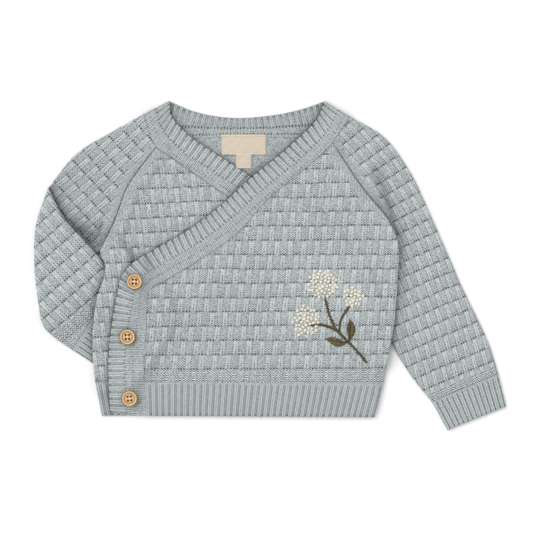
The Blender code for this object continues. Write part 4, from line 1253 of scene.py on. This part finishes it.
def make_tape(name, node, centre, size, lift, bed):
    """A woven label: a soft-cornered tape with folded ends, laid over what is under it."""
    across, along = round(size[0] / 0.5), round(size[1] / 0.5)
    x, y = np.meshgrid(np.linspace(-1, 1, across), np.linspace(-1, 1, along), indexing="ij")
    x, y = x.ravel() * size[0] / 2, y.ravel() * size[1] / 2
    spots = np.stack([x + centre[0], y + centre[1]], axis=1)
    side, end = size[0] / 2 - np.abs(x), size[1] / 2 - np.abs(y)
    edge = np.minimum(side, end)
    fold = 0.25 * held((2.2 - end) / 0.5)
    stitch = np.exp(-((end - 2.0) / 0.3) ** 2) * (0.5 + 0.5 * wave(x / 1.3))
    bow = 0.25 * np.cos(x / 7.0) + 0.15 * np.sin(y / 3.0 + x / 9.0)
    base = mean_of(height_at(spots, *bed), across, along) + lift + bow
    top = base + LABEL_WALL * (0.35 + 0.65 * np.sqrt(held(edge / 0.5))) + fold - 0.22 * stitch
    count = across * along
    quads = grid_quads(across, along)
    loop = edge_loop(quads)
    coords = np.vstack([np.column_stack([spots, top]), np.column_stack([spots, base])])
    sides = np.stack([loop, loop + count, np.roll(loop, -1) + count, np.roll(loop, -1)], axis=1)
    made = solid(name, coords, np.vstack([quads, quads[:, ::-1] + count, sides]), TAPE, "label")
    carry(made.data, np.tile(np.column_stack([spots, side, end]), (2, 1)))
    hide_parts(node)
    return made


def mean_of(heights, across, along):
    """Heights on a grid, drawn level over what is small and uneven."""
    grid = heights.reshape(across, along)
    for _ in range(12):
        padded = np.pad(grid, 1, mode="edge")
        around = padded[:-2, 1:-1] + padded[2:, 1:-1] + padded[1:-1, :-2] + padded[1:-1, 2:]
        grid = np.maximum(grid * 0.995, around / 4)
    return grid.ravel()


# A turned button's section: (radius, height)
BUTTON_SECTION = [
    (0.0, 0.0), (3.5, 0.0), (6.0, 0.0), (6.7, 0.45), (7.15, 1.2), (7.25, 1.8), (7.15, 2.4), (6.85, 2.85),
    (6.4, 3.1), (5.9, 3.05), (5.5, 2.75), (5.2, 2.2), (4.95, 1.8), (4.7, 1.7), (4.4, 1.85), (4.0, 2.05),
    (3.4, 2.1), (2.6, 2.0), (1.4, 1.95), (0.0, 1.95),
]
HOLE_SPACING = (3.0, 3.5)
HOLE_RADIUS = 1.15


def lathe(section, steps=72):
    """Points and faces of a section turned round the upright axis."""
    rows = [(r, z) for r, z in section if r > 0]
    turn = np.linspace(0, 2 * np.pi, steps, endpoint=False)
    coords = [(r * math.cos(a), r * math.sin(a), z) for r, z in rows for a in turn]
    coords += [(0, 0, section[0][1]), (0, 0, section[-1][1])]
    faces = []
    for i in range(len(rows) - 1):
        for k in range(steps):
            m = (k + 1) % steps
            faces.append((i * steps + k, i * steps + m, (i + 1) * steps + m, (i + 1) * steps + k))
    low, high, last = len(coords) - 2, len(coords) - 1, (len(rows) - 1) * steps
    for k in range(steps):
        m = (k + 1) % steps
        faces += [(low, m, k), (high, last + k, last + m)]
    return np.array(coords), faces


def tube(path, radius, sides=8, flat=1.0):
    """Points and faces of a closed round cord along a path; its ends are rounded off."""
    path = np.array(path, float)
    along = np.gradient(path, axis=0)
    along /= np.linalg.norm(along, axis=1)[:, None]
    side = np.cross(along, (0, 0, 1.0))
    side /= np.maximum(np.linalg.norm(side, axis=1), 1e-6)[:, None]
    up = np.cross(side, along)
    radius = np.broadcast_to(radius, len(path)).astype(float)
    turn = np.linspace(0, 2 * np.pi, sides, endpoint=False)
    rings = (
        path[:, None] + side[:, None] * (radius[:, None] * np.cos(turn))[..., None]
        + up[:, None] * (flat * radius[:, None] * np.sin(turn))[..., None]
    )
    coords = np.vstack([rings.reshape(-1, 3), path[:1], path[-1:]])
    count, faces = len(path), []
    for i in range(count - 1):
        for k in range(sides):
            m = (k + 1) % sides
            faces.append((i * sides + k, (i + 1) * sides + k, (i + 1) * sides + m, i * sides + m))
    last = (count - 1) * sides
    for k in range(sides):
        m = (k + 1) % sides
        faces += [(count * sides, k, m), (count * sides + 1, last + m, last + k)]
    return coords, faces


def joined(parts):
    """Several (points, faces) as one."""
    coords, faces, count = [], [], 0
    for points, sides in parts:
        coords.append(np.asarray(points))
        faces += [tuple(int(i) + count for i in face) for face in sides]
        count += len(points)
    return np.vstack(coords), faces


def make_button(number, centre):
    """A turned wooden button with four holes, sewn on with a cross of thread."""
    ring = np.linspace(0, 2 * np.pi, 24, endpoint=False)
    spots = np.array(centre) + 5.5 * np.stack([np.cos(ring), np.sin(ring)], axis=1)
    base = height_at(spots, "left_front_band_rib").max() - 0.15
    coords, faces = lathe(BUTTON_SECTION)
    made = solid(f"wooden_button_{number}", coords + (*centre, base), faces, WOOD, "button")
    carry(made.data, np.linalg.norm(coords[:, :2], axis=1)[:, None])
    turned = math.radians(4.0 * number - 6.0)
    across = np.array([math.cos(turned), math.sin(turned)]) * HOLE_SPACING[0] / 2
    along = np.array([-math.sin(turned), math.cos(turned)]) * HOLE_SPACING[1] / 2
    for i in (-1, 1):
        for k in (-1, 1):
            drill, sides = lathe([(0.0, -1.0), (HOLE_RADIUS, -1.0), (HOLE_RADIUS, 4.0), (0.0, 4.0)], 20)
            x, y = i * across + k * along + centre
            # The cutter's near-black finish goes onto the holes' walls as their painted shade
            cutter = solid("drill", drill + (x, y, base), sides, HOLE_SHADE_WOOD, None)
            cut = made.modifiers.new("hole", "BOOLEAN")
            cut.object, cut.solver, cut.material_mode = cutter, "EXACT", "TRANSFER"
            with bpy.context.temp_override(object=made, active_object=made):
                bpy.ops.object.modifier_apply(modifier="hole")
            bpy.data.objects.remove(cutter)
    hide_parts(f"button_{number}")
    strands = []
    t = np.linspace(-1, 1, 17)[:, None]
    for k in (-1, 1):
        line = t * (across + k * along) * 0.88 + centre
        z = 2.1 + 0.3 * (k > 0) - 1.9 * np.clip((np.abs(t) - 0.74) / 0.26, 0, 1) ** 1.5
        strands.append(tube(np.column_stack([line, z + base]), 0.16 + 0.5 * np.exp(-(t[:, 0] / 0.3) ** 2)))
    sewn = solid(f"button_{number}_thread", *joined(strands), COTTON, None)
    return made, sewn


# The embroidered sprig
STEMS = [
    [(89.4, -90.1), (80.5, -79.5), (72.8, -71.6), (66.0, -64.6), (60.5, -58.9)],
    [(60.5, -58.9), (55.6, -48.3), (52.6, -38.0), (50.8, -30.3)],
    [(62.4, -61.2), (55.0, -57.3), (46.5, -55.0), (37.2, -55.4)],
    [(63.9, -62.3), (64.6, -54.0), (67.6, -46.0), (73.2, -37.9)],
]
LEAVES = [
    # (base, tip, bulge to one side, where it is widest, bulge to the other, where)
    ((73.0, -71.0), (73.7, -49.3), 2.6, 0.5, -5.4, 0.48),
    ((71.4, -71.6), (50.7, -68.2), 5.2, 0.36, -2.8, 0.64),
]
HEADS = [
    # (centre, radius across, radius along, knots)
    ((48.6, -16.8), 14.2, 13.2, 50),
    ((76.6, -29.5), 9.4, 9.6, 23),
    ((33.0, -51.6), 12.8, 14.8, 43),
]
GOLDEN_TURN = math.pi * (3 - math.sqrt(5))
# The knit under each flower head is painted lighter: a painted pool of light among its pale knots
PAINTED_SHADE["left_front_knit"] += [(np.array([centre]), 12.0, -0.16) for centre, *_ in HEADS]


def make_stems(bed):
    """Rope stitch: three strands twisted along each stem."""
    parts = []
    for number, stem in enumerate(STEMS):
        line = curve(stem, 0.45)
        level = height_at(line, bed)
        level = np.convolve(np.pad(level, 4, mode="edge"), np.ones(9) / 9, mode="valid") + 0.35
        across = np.gradient(line, axis=0)
        across = np.stack([-across[:, 1], across[:, 0]], axis=1)
        across /= np.linalg.norm(across, axis=1)[:, None]
        for strand in range(3):
            phase = np.arange(len(line)) * 0.45 / 3.2 * 2 * np.pi + strand * 2 * np.pi / 3
            spread = 0.62 + 0.2 * np.sin(np.arange(len(line)) * 1.7 + 5 * strand + number)
            spots = line + across * (spread * np.cos(phase))[:, None]
            parts.append(tube(np.column_stack([spots, level + 0.4 * np.sin(phase)]), 0.5, 6))
        along = np.gradient(line, axis=0)
        for k in range(4, len(line) - 4, 4):
            reach = 1.75 + 0.35 * math.sin(k * 2.3 + number)
            t = np.linspace(0, 1, 5)[:, None]
            spots = line[k] + t * (along[k] * 3.2 + across[k] * reach * (1 if k % 8 else -1))
            parts.append(tube(np.column_stack([spots, level[k] + 0.2 - 0.4 * t[:, 0]]), 0.3, 5))
    return solid("sprig_stems", *joined(parts), STEM_THREAD, None)


def make_leaves(bed):
    """Satin stitch: threads from each leaf's middle to its edge, and a darker thread along the middle."""
    parts, ribs = [], []
    for base, tip, one, one_widest, other, other_widest in LEAVES:
        base, tip = np.array(base), np.array(tip)
        along = tip - base
        length = np.linalg.norm(along)
        along /= length
        across = np.array([-along[1], along[0]])
        middles = []
        for k in np.arange(0.4, length - 0.2, 0.45):
            share = k / length
            middle = base + along * k + across * (one + other) * 0.25 * math.sin(math.pi * share)
            middles.append((*middle, height_at([middle], bed)[0] + 0.95))
            for bulge, widest in ((one, one_widest), (other, other_widest)):
                width = math.sin(math.pi * share ** (math.log(0.5) / math.log(widest))) ** 1.1
                far = base + along * (k + 1.4 * (1 - share)) + across * bulge * width
                t = np.linspace(0, 1, 7)[:, None]
                spots = middle * (1 - t) + far * t
                level = height_at(spots[[0, -1]], bed).mean()
                z = level + 0.25 + 0.75 * np.sin(np.pi * (0.12 + 0.8 * t[:, 0])) * (0.4 + 0.6 * width)
                parts.append(tube(np.column_stack([spots, z]), 0.33, 5))
        ribs.append(tube(np.array(middles)[:-6], np.linspace(0.66, 0.3, len(middles) - 6), 6))
    solid("sprig_midribs", *joined(ribs), MIDRIB_THREAD, None)
    return solid("sprig_leaves", *joined(parts), LEAF_THREAD, None)


def make_heads(bed):
    """Knot stitch: short coils of thread, spread evenly over each flower head."""
    parts = []
    for (cx, cy), wide, tall, count in HEADS:
        for i in range(count):
            away = math.sqrt((i + 0.5) / count) * (1 + 0.03 * math.sin(i * 3.7))
            turn = i * GOLDEN_TURN + 0.04 * math.sin(i * 5.1)
            x, y = cx + wide * away * math.cos(turn), cy + tall * away * math.sin(turn)
            size = 1.24 + 0.12 * math.sin(i * 7.3)
            level = height_at([(x, y)], bed)[0]
            t = np.linspace(0, 1, 24)
            reach = size * 0.66 * np.sin(np.pi * (0.16 + 0.8 * t))
            path = np.stack([
                x + reach * np.cos(12 * t + i), y + reach * np.sin(12 * t + i), level + 0.1 + 1.15 * t,
            ], axis=1)
            parts.append(tube(path, 0.4 * size, 6))
    return solid("sprig_knots", *joined(parts), KNOT_THREAD, None)


def make_surface_and_light():
    """A white floor under an even white sky, and one broad soft lamp."""
    bpy.ops.mesh.primitive_plane_add(size=8.0, location=(0, 0, -0.0002))
    surface = bpy.context.object
    surface.name = "pale_floor"
    surface.data.materials.append(white_surface())
    world = bpy.data.worlds.new("soft_room")
    bpy.context.scene.world = world
    world.use_nodes = True
    world.node_tree.nodes["Background"].inputs["Color"].default_value = (1.0, 1.0, 1.0, 1.0)
    world.node_tree.nodes["Background"].inputs["Strength"].default_value = 0.78
    lamp = bpy.data.lights.new("window", "SUN")
    lamp.energy = 1.75
    lamp.angle = math.radians(50)
    made = bpy.data.objects.new("window", lamp)
    made.rotation_euler = Vector((0.58, -0.36, -1.0)).to_track_quat("-Z", "Y").to_euler()
    bpy.context.scene.collection.objects.link(made)


def make_camera():
    """Straight above, with a long lens."""
    height = 2.6  # over the level of most of the cloth, in metres
    cloth_level = 0.006
    width = 0.4957  # what the picture takes in at that level
    lens = bpy.data.cameras.new("above")
    lens.sensor_width = 36.0
    lens.lens = 36.0 * height / width
    made = bpy.data.objects.new("above", lens)
    made.location = (-0.0037, -0.0009, height + cloth_level)
    bpy.context.scene.collection.objects.link(made)
    bpy.context.scene.camera = made


WOOD = wood_finish("waxed_wood", (0.65, 0.4, 0.185))
# Near-black wood for the holes' walls: painted shade for the dark of the deep holes
HOLE_SHADE_WOOD = wood_finish("painted_hole_shade", (0.02, 0.008, 0.004))
TAPE = tape_finish()
COTTON = thread_finish("cotton_thread", (0.88, 0.82, 0.72), 0.3)
STEM_THREAD = thread_finish("stem_thread", (0.082, 0.064, 0.028), 1.0)
LEAF_THREAD = thread_finish("leaf_thread", (0.118, 0.093, 0.041), 1.3)
MIDRIB_THREAD = thread_finish("midrib_thread", (0.035, 0.026, 0.011), 0.6)
KNOT_THREAD = thread_finish("knot_thread", (0.93, 0.83, 0.66), 0.3)
make_camera()
make_surface_and_light()
bpy.context.scene.view_settings.view_transform = "Standard"
# The stitches are as fine as the picture's points, so nothing may be smoothed before the noise is taken out
bpy.context.scene.cycles.denoising_prefilter = "NONE"
make_body(make_sleeves(np.zeros(GRID_SIZE)))
make_tape("neck_tape", "neck_label", LABEL_CENTRE, LABEL_SIZE, 0.2, ["back_inside", "back_neckband_rib"])
make_tape("size_tape", "size_tab", TAB_CENTRE, TAB_SIZE, 0.1, ["back_inside"])
for number, centre in enumerate(BUTTONS, 1):
    make_button(number, centre)
for stitched in (make_stems, make_leaves, make_heads):
    stitched("left_front_knit")
